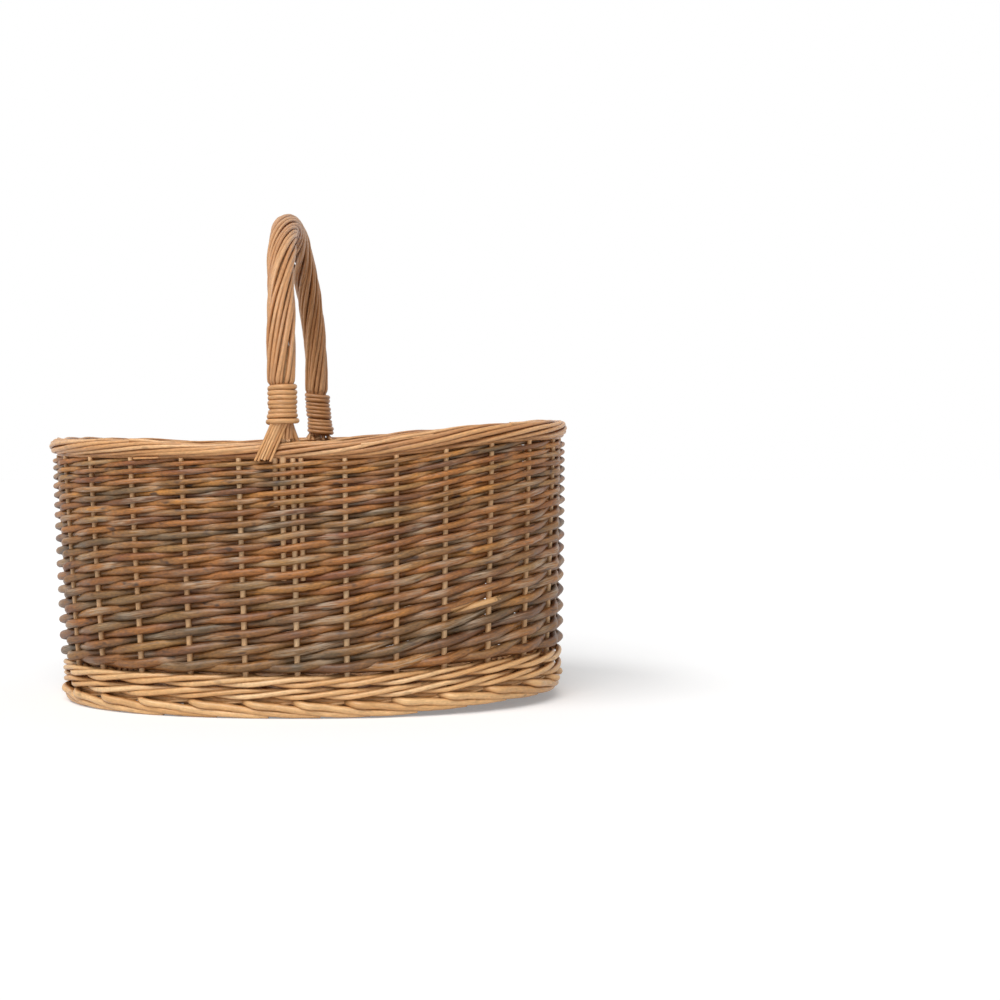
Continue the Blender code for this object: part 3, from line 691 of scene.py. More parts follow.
# %% Smooth paths and random drift
def between(places, stops):
    """The stop before each place, and how far it is from there to the next, from 0 to 1."""
    part = np.clip(np.searchsorted(stops, places, side="right") - 1, 0, len(stops) - 2)
    return part, (places - stops[part]) / (stops[part + 1] - stops[part])


def smooth_through(places, stops, values):
    """Values at places, on a smooth curve through the values at the stops."""
    part, t = between(places, stops)
    slope = np.gradient(values, stops)
    span = stops[part + 1] - stops[part]
    a, b = values[part], values[part + 1]
    return (
        a * (1 + 2 * t) * (1 - t) ** 2
        + b * t * t * (3 - 2 * t)
        + slope[part] * span * t * (1 - t) ** 2
        - slope[part + 1] * span * t * t * (1 - t)
    )


def wander(seed, places, span, amount):
    """Random values that change smoothly along places, with a new one every span."""
    steps = (places - places.min()) / span
    values = np.random.default_rng(seed).uniform(-amount, amount, int(steps.max()) + 3)
    start = steps.astype(int)
    share = eased(steps - start, 0, 1)
    return values[start] * (1 - share) + values[start + 1] * share


SETTLE_WAVES = [(1.0, 5, 1.3, 30), (0.7, 9, 4.1, -55), (0.6, 14, 0.4, 80)]
SETTLE_DEPTH, SETTLE_LOW, SETTLE_HIGH = 0.0006, 0.05, 0.03


def settle(lead, height):
    """How the rows sag and rise together where the weaver's hand pressed them."""
    turn = 2 * pi * lead / ROUND
    wave = sum(
        size * np.sin(count * turn + start + climb * height)
        for size, count, start, climb in SETTLE_WAVES
    )
    above = eased(height, WALE_TOP, WALE_TOP + SETTLE_LOW)
    below = 1 - eased(height, BORDER_BOTTOM - SETTLE_HIGH, BORDER_BOTTOM)
    return SETTLE_DEPTH * wave * np.minimum(above, below)


# %% One siding rod
SIDING_STEP = 1 / 8
FULL_SHARE, TIP_FULLER, UNEVEN = 1.27, 0.15, 0.08
FRONT_SHARE, BACK_SHARE = 0.80, 0.45
BUTT_TUCKS = [(-1.1, 3.0), (-0.35, 2.2)]
TIP_TUCK = (0.9, -0.003)
FIRST_DROP, DROP_ROWS = 0.0046, 11
BEND_EASE = 0.12
LOOSE, TIP_LOOSER, LOOSE_FROM = 0.0003, 0.0005, 22


def siding_stops(number):
    """Places along a rod, in stakes from its first row, and how far out it is there."""
    stops = [(place, -(STAKE_BUTT_RADIUS + tuck * row_radius(0))) for place, tuck in BUTT_TUCKS]
    for row in range(ROWS + 1):
        reaches, depth = [0.0], stake_radius(row_height(row))
        column = number + row
        if column % (STAKES // 2) == 0:
            height = row_height(row + 1) + row_radius(row)
            left, right, depth = post(height, column % STAKES > 0)
            reaches = [left, right] if right > left else [0.0]
        thick = FULL_SHARE * row_radius(row)
        out = depth + FRONT_SHARE * thick if row % 2 == 1 else -depth - BACK_SHARE * thick
        stops += [(row + reach / PITCH, out) for reach in reaches]
    stops.append((ROWS + TIP_TUCK[0], TIP_TUCK[1]))
    return np.array(stops).T


def siding_rod(number, tone):
    """One rod of the wall, from its butt inside the first row to its tip under the border."""
    stops, outs = siding_stops(number)
    places = np.unique(np.concatenate([np.arange(stops[0], stops[-1], SIDING_STEP), stops]))
    part, share = between(places, stops)
    share = share - BEND_EASE * np.sin(2 * pi * share) / (2 * pi)
    out = part_way(outs[part], outs[part + 1], share)
    lead = (number + places) * PITCH
    loose = LOOSE + TIP_LOOSER * eased(places, LOOSE_FROM, ROWS - 1)
    height = row_height(places) + wander(number, places, 1.7, 1.0) * loose
    height = height + settle(lead, height)
    height = height - FIRST_DROP * eased(places, 0.1, 1) * (1 - eased(places, 1, DROP_ROWS))
    thick = FULL_SHARE + TIP_FULLER * places / ROWS + wander(100 + number, places, 5, UNEVEN)
    return Rod(wall(lead, height, out), row_radius(places) * thick, tone)


# %% The whole siding
BUTT_RING = (FIRST_ROW - 0.0012, -0.0052, 0.0028)
TIP_RING = (BORDER_BOTTOM - 0.0022, -0.0044, 0.0022)
SIDING_PIECES = 4


def packed_ring(height, out, radius, tone):
    """Butts or tips that lie along each other just inside the stakes, all round the wall."""
    lead = np.linspace(0, ROUND, 280)
    return rod(wall(lead, height + settle(lead, height), out), radius, tone=tone)


siding_tones = tones(11, STAKES)
for piece in range(SIDING_PIECES):
    rods = [siding_rod(n, siding_tones[n]) for n in range(piece, STAKES, SIDING_PIECES)]
    if piece == 0:
        rods += [packed_ring(*BUTT_RING, 0.74), packed_ring(*TIP_RING, 0.0)]
    siding = grow(f"siding_rods_{piece + 1}", rods, BARK, crookedness=0.0011, seed=2.0)
    stands_for(siding, "brown_siding_willow", "siding")

# %% [markdown]
# ## Wale
#
# Under the siding lie two rounds of three-rod waling, a rope-like band that sets the
# stakes upright. Each rod goes in front of two stakes and behind one. It rises a little
# while it lies in front, so its neighbour can tuck in under it.

# %% Wale
WALE_RODS, WALE_TAPER = 20, (1.12, 0.88)
WALE_RISE, WALE_BULGE = 0.0010, 0.0012


def wale_line():
    """The whole wale as one run of strokes, from the middle of the rear side."""
    front = STAKE_BUTT_RADIUS + WALE_RADIUS + GAP
    high = WALE_LOW + WALE_STEP
    stroke = [(0, -front, WALE_BACK), (0.5, 0.0, WALE_LOW + WALE_RISE), (1, front, WALE_LOW)]
    stroke.append((1.5, front + WALE_BULGE, WALE_LOW + WALE_STEP / 2))
    stroke += [(2, front, high), (2.5, 0.0, high)]
    stops = []
    for start in range(0, 3 * WALE_ROUNDS * STAKES, 3):
        for step, out, height in stroke:
            climb = WALE_ROUND * ((start + step) // (3 * STAKES))
            stops.append((start + step, out, height + climb))
    return np.array(stops).T


def wale_rods():
    """The wale's run, cut into rods that each taper."""
    stops, outs, heights = wale_line()
    ends = np.linspace(stops[0], stops[-1], WALE_RODS + 1)
    ends[1:-1] = np.round(ends[1:-1] / 3) * 3
    rods = []
    for n, tone in enumerate(tones(5, WALE_RODS)):
        places = np.arange(ends[n], ends[n + 1] + 1 / 16, 1 / 8)
        out = smooth_through(places, stops, outs)
        height = smooth_through(places, stops, heights) + wander(300 + n, places, 1.5, 0.0006)
        lead = (places + STAKES // 2) * PITCH
        thick = WALE_RADIUS * np.linspace(*WALE_TAPER, len(places))
        thick = thick * (1 + wander(330 + n, places, 2, 0.09))
        rods.append(Rod(wall(lead, height, out), thick, tone))
    return rods


wale = grow("wale_rods", wale_rods(), GOLDEN, crookedness=0.0004, seed=3.0)
stands_for(wale, "golden_foot_willow", "upsett_wale")

# %% [markdown]
# ## Foot and rim borders
#
# Both borders are bundles of rods that lie along the edge and wind slowly round each
# other, with a new rod at about every stake. At the foot each rod comes over from the
# inside and slopes down to the right, so a short table of places gives its path. At the
# rim each climbs to the right and is tucked away inside. There an angle round the
# border's own section, eased along the rod, says it all.

# %% Foot border
FOOT_ROD_RADIUS, FOOT_TIP_RADIUS = 0.0034, 0.0024
FOOT_PLACES = np.array([-1.2, -0.5, -0.10, 0.02, 0.09, 0.6, 1.1, 1.65, 2.1, 2.5])
FOOT_OUTS = np.array([-5.2, -5.2, -4.6, 2.6, 5.4, 5.5, 5.0, 4.6, 4.0, 3.0]) / 1000
FOOT_HEIGHTS = np.array([7.4, 11.8, 13.8, 13.7, 13.0, 10.1, 6.9, 4.0, 2.9, 2.5]) / 1000
STRAND_PLACES, STRAND_HEIGHTS, STRAND_OUTS = (0.05, 1.05), (0.0085, 0.0148), (0.0015, 0.0005)
STRAND_RADII = (0.0017, 0.0013)
FOOT_CORE, CORE_RADIUS = (0.0150, -0.0022), 0.0036


def foot_rod(stake, tone, seed):
    """Comes over from the inside beside a stake and slopes down to the right, to its thin end."""
    places = [np.arange(FOOT_PLACES[0], FOOT_PLACES[-1], 0.05), np.linspace(-0.12, 0.16, 15)]
    places = np.unique(np.concatenate(places))
    out = smooth_through(places, FOOT_PLACES, FOOT_OUTS) + wander(seed, places, 0.8, 0.0003)
    height = smooth_through(places, FOOT_PLACES, FOOT_HEIGHTS)
    height = height + wander(seed + 50, places, 0.9, 0.0003)
    thick = part_way(FOOT_ROD_RADIUS, FOOT_TIP_RADIUS, eased(places, 1.0, 2.5))
    thick = thick * (1 + wander(seed + 90, places, 1.5, 0.06))
    height = np.maximum(height, thick)
    lead = (stake + places + np.random.default_rng(seed).uniform(-0.06, 0.06)) * PITCH
    return Rod(wall(lead, height, out), thick, tone)


def foot_strand(stake, tone, seed):
    """The part of a rod that rises behind the others, seen in the dark gap under the wale."""
    dice = np.random.default_rng(seed)
    places = np.linspace(*STRAND_PLACES, 20) + dice.uniform(-0.08, 0.08)
    height = np.linspace(*STRAND_HEIGHTS, 20) + dice.uniform(-0.0006, 0.0006)
    points = wall((stake + places) * PITCH, height, np.linspace(*STRAND_OUTS, 20))
    return rod(points, *STRAND_RADII, tone)


def core(height, out, radius):
    """A rod all round the wall that fills the middle of a bundle."""
    return rod(wall(RING, height, out), radius, tone=0.0)


foot_tones = tones(7, STAKES)
foot_rods = [foot_rod(n, foot_tones[n] * 0.45, 400 + n) for n in range(STAKES)]
foot_rods += [foot_strand(n, foot_tones[-n] * 0.5, 450 + n) for n in range(STAKES)]
foot_rods.append(core(*FOOT_CORE, CORE_RADIUS))
foot = grow("foot_border_rods", foot_rods, GOLDEN, sides=16, crookedness=0.0006, seed=4.0)
stands_for(foot, "golden_foot_willow", "foot_border")

# %% How the rim rises and sags
FRONT_X, FRONT_SWELL = (-0.25, -0.14, -0.11, -0.076, -0.03, 0, 0.04), (1, 1.2, -1, -3, -1.5, 0, 0.5)
REAR_X, REAR_SWELL = (-0.25, -0.2, -0.16, -0.127, -0.09, -0.05, 0), (1, 0, -3, -4.5, -4, -1, 0)
RIGHT_X, RIGHT_SWELL = (0.095, 0.123, 0.17, 0.2, 0.245), (3.2, 2.0, 2.2, 1.3, 1.8)


def rim_swell(points):
    """Millimetres that the rim is thicker or thinner here, turned into metres."""
    x, y = points[:, 0], points[:, 1]
    front = np.interp(x, FRONT_X + RIGHT_X, FRONT_SWELL + RIGHT_SWELL)
    rear = np.interp(x, REAR_X + RIGHT_X, REAR_SWELL + RIGHT_SWELL)
    share = np.clip(y / RIM_LINE[1] / 2 + 0.5, 0, 1)
    return (front * (1 - share) + rear * share) / 1000


# %% Rim border
RIM_STOPS = [(0, -175), (0.6, -140), (1.2, -92), (3.1, 0), (5.0, 84), (5.8, 135), (6.5, 178)]
RIM_RODS = 32
RIM_RADII, RIM_BUTT, RIM_TIP = (0.0020, 0.0025), 1.10, 0.78
UNDER_RIM = (BORDER_BOTTOM + 0.0006, -0.0008, 0.0023)


def rim_line(lead, angle, depth, height):
    """Points on the rim's own section, and the way out of it. At 0 that is out, then up."""
    middle = RIM_HEIGHT - BORDER_HEIGHT / 2
    points = wall(lead, middle + height * np.sin(angle), depth * np.cos(angle))
    level = out_of_wall(points) * np.cos(angle)[:, None]
    outward = level + np.array([0, 0, 1.0]) * np.sin(angle)[:, None]
    points[:, 2] += rim_swell(points) * (np.sin(angle) + 1) / 2
    return points, outward


def rim_rod(start, tone, seed):
    """Comes up from under the border and climbs to the right, until it's tucked in behind."""
    dice = np.random.default_rng(seed)
    stops, turns = np.array(RIM_STOPS, float).T
    places = np.arange(stops[0], stops[-1] + 0.05, 0.1)
    angle = smooth_through(places, stops, turns) + dice.uniform(-7, 7)
    angle = np.radians(angle + wander(seed, places, 1.6, 12.0))
    thick = dice.uniform(*RIM_RADII)
    proud = 1 + dice.uniform(-0.10, 0.12) + wander(seed + 100, places, 1.3, 0.10)
    depth, height = (BORDER_DEPTH / 2 - thick) * proud, (BORDER_HEIGHT / 2 - thick) * proud
    points, outward = rim_line((start + places) * PITCH, angle, depth, height)
    return rod(points, thick * RIM_BUTT, thick * RIM_TIP, tone, outward)


rim_tones = tones(9, RIM_RODS)
rim_rods = [rim_rod(n * STAKES / RIM_RODS, rim_tones[n], 500 + n) for n in range(RIM_RODS)]
rim_core = core(RIM_HEIGHT - BORDER_HEIGHT / 2, 0.0, CORE_RADIUS)
rim_core.points[:, 2] += rim_swell(rim_core.points) / 2
rim_rods += [rim_core, core(*UNDER_RIM)]
print(f"The rim has {len(rim_rods)} rods before its loose ends")

# %% Loose ends in the rim
RIM_TIPS = [
    (-0.1467, 62, 78, 1.4, 0.0013, 0.0022),
    (0.190, 58, 88, 1.0, 0.0010, 0.0020),
    (0.060, 20, 44, 1.4, 0.0006, 0.0020),
]
STUB_X, STUB_LENGTH, STUB_RADIUS, STUB_OUT = -0.1425, 0.48, 0.0010, 0.0058
STUB_HEIGHTS = np.linspace(0, 0.0008, 8) + (BORDER_BOTTOM - 0.0012)


def front_lead(x):
    """How far round the front wall a place along the basket's length is."""
    leads = np.linspace(-ROUND / 4, ROUND / 4, 600)
    return np.interp(x, wall(leads, RIM_HEIGHT)[:, 0], leads)


for x, start, end, length, proud, thick in RIM_TIPS:
    places = np.linspace(0, length, 14)
    angle = np.radians(np.linspace(start, end, 14))
    rise = proud * (1 - 1.8 * places / length)
    depth, height = BORDER_DEPTH / 2 - thick + rise, BORDER_HEIGHT / 2 - thick + rise
    points, outward = rim_line(front_lead(x) + places * PITCH, angle, depth, height)
    rim_rods.append(rod(points, thick, thick * 0.85, 0.95, outward))
stub_lead = front_lead(STUB_X) + np.linspace(0, STUB_LENGTH, 8) * PITCH
stub_line = wall(stub_lead, STUB_HEIGHTS, STUB_OUT)
rim_rods.append(rod(stub_line, STUB_RADIUS, STUB_RADIUS * 0.7, 0.6))
rim = grow("rim_border_rods", rim_rods, BUFF, sides=14, crookedness=0.0006, seed=5.0)
stands_for(rim, "buff_border_willow", "rim_border")

# %% [markdown]
# ## Handle
#
# One thick rod is bent into a hoop, and its thin ends go down into the wall. Sixteen thin
# rods are twisted round it as a rope, a wound collar binds each end, and a flat bunch of
# tips is laid down over the border. The hoop leans a little, as it does on the real
# basket, so its line is written once and the bow, the rope and the collars share it.

# %% The hoop's line
ARCH_LEG = 0.0444
ARCH_HEIGHT = RIM_HEIGHT + ARCH_LEG
HANDLE_LEAN = 0.0116
COLLAR_LIFTS, COLLAR_TURNS = {"front": 0.0126, "rear": 0.0010}, {"front": 9, "rear": 11}
COLLAR_PITCH, COLLAR_ROD_RADIUS = 0.0042, 0.0018
COLLAR_RISE = (COLLAR_TURNS["front"] - 1) * COLLAR_PITCH
COLLAR_TOP = RIM_HEIGHT + COLLAR_LIFTS["front"] + COLLAR_RISE + 2 * COLLAR_ROD_RADIUS
REAR_COLLAR_DROP = 0.0036
ROPE_SWELL, ROPE_SPRING = 0.012, (-0.0040, 0.0035)


def hoop_x(height):
    top = ARCH_HEIGHT + RIM_LINE[1]
    share = np.maximum((height - RIM_HEIGHT) / (top - RIM_HEIGHT), 0)
    return BOW_LEAD - HANDLE_LEAN * share * share


def hoop(share):
    """The hoop's middle line, from the front rim (0) over the arch to the rear rim (1)."""
    reach, leg = RIM_LINE[1], ARCH_LEG
    length = 2 * leg + pi * reach
    along = np.asarray(share, float) * length
    turn = np.clip((along - leg) / reach, 0, pi)
    y = -reach * np.cos(turn)
    z = ARCH_HEIGHT + reach * np.sin(turn) + np.minimum(along - leg, 0)
    z = z - np.maximum(along - (length - leg), 0)
    return np.stack([hoop_x(z), y, z], axis=-1)


def rope_swell(height):
    return eased(height, COLLAR_TOP, COLLAR_TOP + ROPE_SWELL)


def rope_spring(points):
    """The rope's outer rods spring out where a collar lets them go, at the rear lower down."""
    above = points[:, 2] - COLLAR_TOP + np.where(points[:, 1] > 0, REAR_COLLAR_DROP, 0)
    return eased(above, *ROPE_SPRING)


print("Top of the hoop's line:", hoop(0.5).round(3))


# %% Bow
def side_lead(lead, rear):
    return ROUND / 2 - lead if rear else lead


def bow_line():
    legs = {}
    for rear in (False, True):
        points = wall(side_lead(BOW_LEAD, rear), np.linspace(BOW_END_HEIGHT, BORDER_BOTTOM, 20))
        points[:, 0] = BOW_LEAD
        legs[rear] = points
    return np.concatenate([legs[False], hoop(np.linspace(0, 1, 90)), legs[True][::-1]])


def bow_radius(height):
    collar = RIM_HEIGHT + COLLAR_LIFTS["front"]
    upper = part_way(BOW_RIM_RADIUS, BOW_COLLAR_RADIUS, eased(height, RIM_HEIGHT, collar))
    full = part_way(BOW_COLLAR_RADIUS, BOW_RADIUS, rope_swell(height))
    return np.where(height < RIM_HEIGHT, leg_radius(height), np.where(height < collar, upper, full))


bow_points = bow_line()
bow = grow("bow", [Rod(bow_points, bow_radius(bow_points[:, 2]), 0.4)], STAKE_WILLOW, sides=20)
stands_for(bow, "peeled_willow", "handle_bow")

# %% Rope
BUNCHES, RODS_IN_BUNCH, ROPE_TURNS, ROPE_EASE = 4, 4, 2, 0.5
ROPE_RING, ROPE_ROD_RADIUS = 0.0100, 0.0020
ROPE_COLLAR_RING, ROPE_COLLAR_ROD_RADIUS = 0.0075, 0.0014
ROPE_FULLER, REAR_THINNER, REAR_PART = 0.060, 0.11, (0.66, 0.92)


def hoop_axes(share):
    """Two directions across the hoop: one close to the basket's length, one square to it."""
    ahead = hoop(np.minimum(share + 0.004, 1)) - hoop(np.maximum(share - 0.004, 0))
    ahead /= np.linalg.norm(ahead, axis=1, keepdims=True)
    across = np.array([1.0, 0, 0]) - ahead * ahead[:, :1]
    across /= np.linalg.norm(across, axis=1, keepdims=True)
    return across, np.cross(ahead, across)


def rope_rod(bunch, number, tone):
    seed = 600 + 4 * bunch + number
    dice = np.random.default_rng(seed)
    share = np.linspace(0.002, 0.998, 230)
    middle = hoop(share)
    across, beside = hoop_axes(share)
    swell = rope_spring(middle)
    ring = part_way(ROPE_COLLAR_RING, ROPE_RING, swell)
    fuller = ROPE_FULLER - REAR_THINNER * eased(share, *REAR_PART)
    ring = ring * (1 + swell * (wander(seed, share, 0.09, 0.09) + fuller))
    thick = dice.uniform(0.80, 1.16) * (1 + wander(seed + 20, share, 0.3, 0.08))
    radius = part_way(ROPE_COLLAR_ROD_RADIUS, ROPE_ROD_RADIUS, swell) * thick
    place = (bunch + (number + 0.5) / RODS_IN_BUNCH - 0.5) / BUNCHES
    turned = ROPE_TURNS * (share + ROPE_EASE * (eased(share, 0, 1) - share))
    angle = 2 * pi * (place + turned) + wander(seed + 40, share, 0.13, 0.14)
    outward = across * np.cos(angle)[:, None] + beside * np.sin(angle)[:, None]
    return Rod(middle + ring[:, None] * outward, radius, tone, outward)


for bunch in range(BUNCHES):
    shades = tones(20 + bunch, RODS_IN_BUNCH)
    rods = [rope_rod(bunch, n, shades[n]) for n in range(RODS_IN_BUNCH)]
    rope = grow(f"rope_rods_{bunch + 1}", rods, PEELED, crookedness=0.0005, seed=6.0)
    stands_for(rope, "peeled_willow", f"rope_bunch_{bunch + 1}")

# %% Collars
COLLAR_WINDING_RADIUS = 0.00238
COLLAR_SPREAD, COLLAR_START = {"front": 0.17, "rear": 0.08}, {"front": pi, "rear": 0.55}
# The rear collar takes a darker tone than the front one: painted shade.
COLLAR_STRAY, COLLAR_TONES = {"front": 0.0, "rear": 0.0030}, {"front": 0.22, "rear": 0.0}


def collar_rod(place):
    """Wound up from the border. Its first turn is looser, and its ends lie on the inner side."""
    side = 1 if place == "rear" else -1
    turn = np.arange(0, COLLAR_TURNS[place] - 1 + 1 / 60, 1 / 36)
    z = RIM_HEIGHT + COLLAR_LIFTS[place] + COLLAR_ROD_RADIUS + COLLAR_PITCH * turn
    z = z + wander(700 + side, turn, 0.55, 0.0007)
    loose = 1 + COLLAR_SPREAD[place] * (1 - eased(turn, 0.5, 2.2))
    ring = (ROPE_COLLAR_RING + ROPE_COLLAR_ROD_RADIUS + COLLAR_ROD_RADIUS) * loose
    out = ring + wander(710 + side, turn, 0.4, 0.0003)
    angle = 2 * pi * turn + COLLAR_START[place]
    outward = np.stack([np.sin(angle), side * np.cos(angle), np.zeros(len(angle))], axis=-1)
    stray = COLLAR_STRAY[place] * (1 - eased(z, RIM_HEIGHT, RIM_HEIGHT + 0.040))
    middle = np.stack([hoop_x(z) + stray, np.full(len(z), side * RIM_LINE[1]), z], axis=-1)
    middle[:, 2] += 0.0007 * np.sin(angle + 2.2)
    thick = COLLAR_WINDING_RADIUS * (1 + wander(720 + side, turn, 0.6, 0.12))
    return Rod(middle + out[:, None] * outward, thick, COLLAR_TONES[place], outward)


for place in ("front", "rear"):
    collar = grow(f"collar_{place}_winding", [collar_rod(place)], BUFF, sides=14, seed=7.0)
    stands_for(collar, "golden_foot_willow", f"collar_{place}")

# %% Splays
SPLAY_RODS, SPLAY_RADII = 6, (0.0015, 0.0013)
SPLAY_WIDTH, SPLAY_SEAT = 0.0150, 0.0004
SPLAY_TOP_LEAD, SPLAY_FOOT_LEAD = -0.0096, -0.0251
SPLAY_TOP_LIFT, SPLAY_FOOT_HEIGHT = 0.0036, RIM_HEIGHT - 0.0178
SPLAY_SHOULDER = 0.004


def splay_rod(number, place, tone):
    """One tip of the flat bunch, from under the collar over the border's shoulder."""
    rope_out = ROPE_COLLAR_RING + ROPE_COLLAR_ROD_RADIUS - SPLAY_SEAT
    border_out = BORDER_DEPTH / 2 + SPLAY_RADII[0]
    top = RIM_HEIGHT + COLLAR_LIFTS[place] + SPLAY_TOP_LIFT
    seed = 800 + number
    dice = np.random.default_rng(seed)
    share = np.linspace(0, 1, 24)
    height = top + (SPLAY_FOOT_HEIGHT - top + dice.uniform(-0.001, 0.001)) * share
    stops = [-top, -RIM_HEIGHT, SPLAY_SHOULDER - RIM_HEIGHT, -BORDER_BOTTOM, -SPLAY_FOOT_HEIGHT]
    outs = [rope_out, rope_out - SPLAY_SEAT, border_out - SPLAY_SEAT, border_out, border_out]
    out = np.interp(-height, stops, outs)
    out = out + wander(seed, share, 0.4, 0.0003) + SPLAY_SEAT * (number % 2)
    middle = part_way(SPLAY_TOP_LEAD, SPLAY_FOOT_LEAD, share)
    lead = middle + SPLAY_WIDTH * ((number + 0.5) / SPLAY_RODS - 0.5) * (0.98 + 0.06 * share)
    return rod(wall(side_lead(lead, place == "rear"), height, out), *SPLAY_RADII, tone)


ROPE_END_START, ROPE_END_RADII = 0.0065, (0.0021, 0.0019)
ROPE_END_REACH = {
    "front": (-0.0165, -0.0100, 0.0085, 0.0138),
    "rear": (-0.0095, -0.0040, 0.0060, 0.0150),
}


def rope_end(place, reach, tone):
    """A rope rod that comes out under the collar and goes down inside the border."""
    side = 1 if place == "rear" else -1
    share = np.linspace(0, 1, 14)
    height = RIM_HEIGHT + COLLAR_LIFTS[place] + 0.006 - (COLLAR_LIFTS[place] + 0.010) * share
    start = np.sign(reach) * ROPE_END_START
    x = hoop_x(height) + start + (reach - start) * share**1.3
    y = side * (RIM_LINE[1] - 0.0010 - 0.0030 * share)
    return rod(np.stack([x, y, height], axis=-1), *ROPE_END_RADII, tone)


for place in ("front", "rear"):
    shades = tones(30 + len(place), SPLAY_RODS)
    rods = [splay_rod(n, place, shades[n]) for n in range(SPLAY_RODS)]
    rods += [rope_end(place, reach, 0.2) for reach in ROPE_END_REACH[place]]
    splay = grow(f"splay_{place}_tips", rods, BUFF, crookedness=0.0002, seed=8.0)
    stands_for(splay, "peeled_willow", f"splay_{place}")

# %% Liners
for place in ("front", "rear"):
    for side in ("left", "right"):
        levels = np.linspace(RIM_HEIGHT - LINER_DEPTHS[side], BORDER_BOTTOM - GAP, 20)
        line = wall(side_lead(LINER_LEADS[side], place == "rear"), levels)
        name, rods = f"liner_{place}_{side}", [rod(line, LINER_RADIUS, tone=0.3)]
        liner = grow(name + "_rod", rods, STAKE_WILLOW, crookedness=0.0005)
        stands_for(liner, "peeled_willow", name)

# %% [markdown]
# ## Base
#
# The base is seen only from above and below. Its cross sticks and long sticks are plain
# split rods, so the frame's own solids keep their shape and only get the peeled willow.
# The mat round them is woven: each round goes over one stick and under the next.

# %% Sticks of the base
STICK_GRAIN = {"cross": (700.0, 40.0, 700.0), "long": (40.0, 700.0, 700.0)}
STICK_COLOURS = {0.3: (176, 128, 84), 0.5: (210, 164, 116), 0.7: (226, 186, 140)}


def stick_willow(kind):
    """Peeled willow for a straight stick, with its grain along the stick."""
    material = bpy.data.materials.new(f"{kind}_stick_willow")
    wire = blank(material)
    place = wire.node("ShaderNodeTexCoord", output="Object")
    grain = noise(wire, wire.vector("MULTIPLY", {0: place, 1: STICK_GRAIN[kind]}), 1.0, 3.0)
    spots = noise(wire, place, 90.0)
    colour = ramp(wire, STICK_COLOURS, grain * 0.6 + spots * 0.4)
    wood_surface(wire, colour, ranged(wire, spots, *NOISE_RANGE, 0.42, 0.58), grain)
    return material


for kind in STICK_GRAIN:
    sticks = [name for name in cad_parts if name.startswith(f"base_{kind}_stick_")]
    material = stick_willow(kind)
    for name in sticks:
        for place in bpy.data.objects[name].material_slots:
            place.material = material
    print(len(sticks), kind, "sticks have peeled willow")

# %% Weave of the base
SLOT_LENGTH, SLOT_HALF_WIDTH, SLOT_ROUNDNESS = 0.226, 0.0069, 0.6
CROSS_STICK_SPACING = 0.034
BASE_WEAVE_ROUNDS, BASE_CROSSINGS = 37, 20
BASE_ROD_RADIUS, BASE_SWING = 0.0023, 0.0050


def sticks_passed(x, y):
    """How many sticks a round has passed at each point: seven a side and three at each end."""
    reach = min(3.5 * CROSS_STICK_SPACING, x.max() - 0.004)
    corner = np.abs(y[np.argmin(np.abs(x - reach))])
    along_side = np.abs(np.diff(x)) / CROSS_STICK_SPACING
    along_end = np.abs(np.diff(y)) * 1.5 / corner
    passed = added_up(np.where(np.abs(x[1:]) < reach, along_side, along_end))
    return 0.5 + passed * BASE_CROSSINGS / passed[-1]


def base_round(number, tone):
    """One round of the mat. Each round goes over one stick and under the next."""
    points = wall(RING, BASE_HEIGHT, -BASE_EDGE_INSET - BASE_ROD_RADIUS)
    angle = wall_angle(RING)
    c, s = np.cos(angle), np.sin(angle)
    slot_x = SLOT_LENGTH / 2 * np.sign(c) * np.abs(c) ** SLOT_ROUNDNESS
    slot_y = SLOT_HALF_WIDTH * np.sign(s) * np.abs(s) ** SLOT_ROUNDNESS
    slot = np.stack([slot_x, slot_y], axis=-1)
    outwards = points[:, :2] - slot
    points[:, :2] = slot + outwards * (number + 0.7) / (BASE_WEAVE_ROUNDS - 0.3)
    swing = BASE_SWING * np.sin(pi * (sticks_passed(points[:, 0], points[:, 1]) + number))
    swing = swing + wander(900 + number, RING / ROUND, 0.07, 0.0004)
    points[:, 2] = BASE_HEIGHT + lift(points[:, 0], BASE_HEIGHT) + swing
    up = np.tile([0, 0, 1.0], (len(points), 1))
    return rod(points, BASE_ROD_RADIUS, BASE_ROD_RADIUS * 0.95, tone, up)


mat = [base_round(n, tone) for n, tone in enumerate(tones(13, BASE_WEAVE_ROUNDS))]
base_mat = grow("base_weave_rods", mat, BUFF, sides=10, crookedness=0.0005, seed=9.0)
stands_for(base_mat, "buff_border_willow", "base_weave")

# %% [markdown]
# ## Floor and light
#
# The basket stands in a white studio. The floor and the world look white to the eye, while
# they light the basket no more than a plain room does. Three broad lamps give it its form.


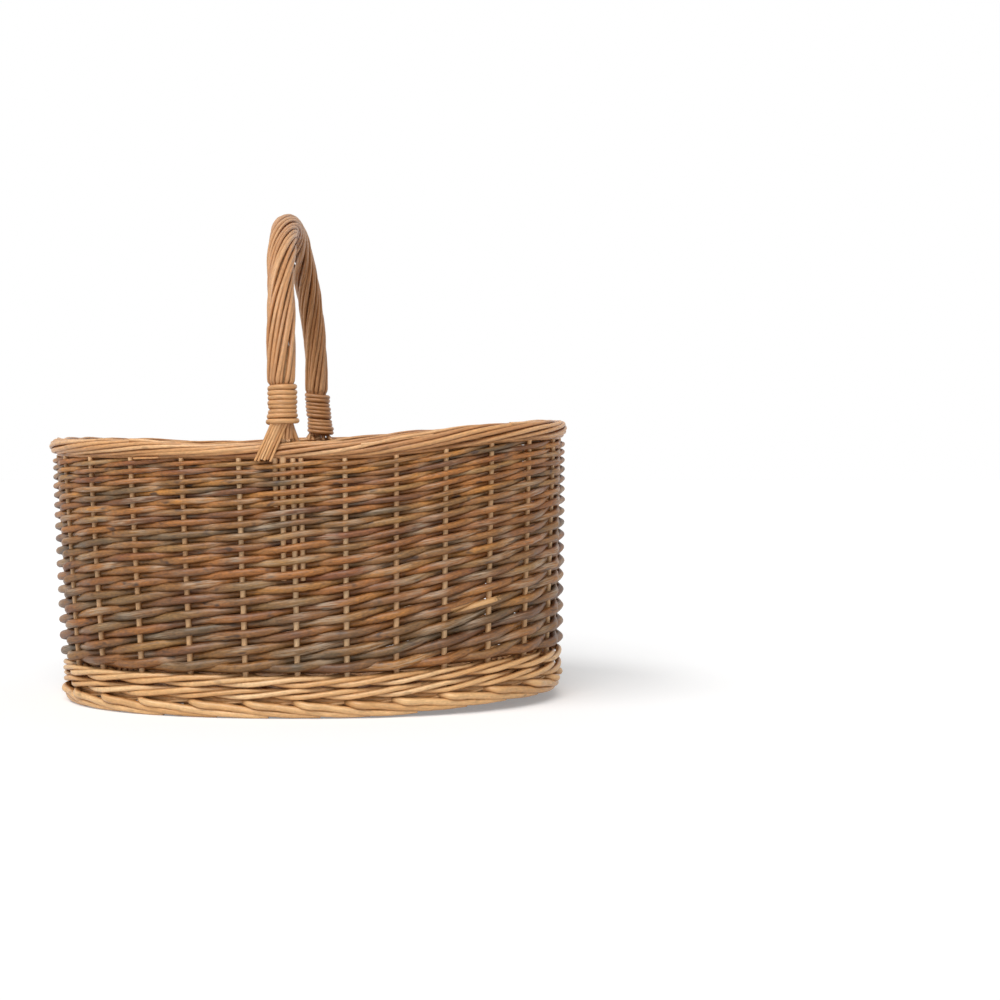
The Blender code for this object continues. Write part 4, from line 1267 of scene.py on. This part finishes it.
# %% Floor
def straight_to_eye(wire):
    """1 for a ray that shows the background itself, and 0 for one that lights the basket."""
    paths = wire.node("ShaderNodeLightPath")
    seen = paths.other("Is Camera Ray") + paths.other("Is Glossy Ray")
    return seen + paths.other("Is Transmission Ray")


FLOOR, FLOOR_WHITE, FLOOR_GLOW = 6.0, (0.86, 0.86, 0.86, 1), 0.25
corners = [(-FLOOR, -FLOOR, 0), (FLOOR, -FLOOR, 0), (FLOOR, FLOOR, 0), (-FLOOR, FLOOR, 0)]
floor_mesh = bpy.data.meshes.new("floor")
floor_mesh.from_pydata(corners, [], [(0, 1, 2, 3)])
floor = placed("floor", floor_mesh)

white = bpy.data.materials.new("white_floor")
wire = blank(white)
glow = wire.node("ShaderNodeEmission", inputs={"Strength": straight_to_eye(wire) * FLOOR_GLOW})
matte = wire.node("ShaderNodeBsdfDiffuse", inputs={"Color": FLOOR_WHITE})
both = wire.node("ShaderNodeAddShader", inputs={0: matte, 1: glow})
wire.node("ShaderNodeOutputMaterial", inputs={"Surface": both})
floor_mesh.materials.append(white)
print(f"The floor is {2 * FLOOR:.0f} m wide")

# %% World
AMBIENT = 0.32
world = bpy.data.worlds.new("studio")
wire = blank(world)
bpy.context.scene.world = world
level = straight_to_eye(wire) * (1 - AMBIENT) + AMBIENT
background = {"Color": (1, 1, 1, 1), "Strength": level}
background = wire.node("ShaderNodeBackground", inputs=background)
wire.node("ShaderNodeOutputWorld", inputs={"Surface": background})
print(f"The world lights the basket at {AMBIENT}")


# %% Lamps
def sun(name, towards, soft, strength):
    """Broad studio light from one side, as even over the floor as over the basket."""
    data = bpy.data.lights.new(name, "SUN")
    data.angle = radians(soft)
    data.energy = strength
    placed(name, data).rotation_euler = Vector(towards).to_track_quat("-Z", "Y").to_euler()
    print(f"{name}: {strength} W/m2 over {soft} degrees")


sun("key", (0.16, 0.90, -0.92), 45, 1.90)
sun("window", (0.40, 0.28, -0.75), 20, 0.6)
sun("fill", (-0.7, 0.9, -0.35), 90, 0.07)
bpy.context.scene.view_settings.view_transform = "Standard"
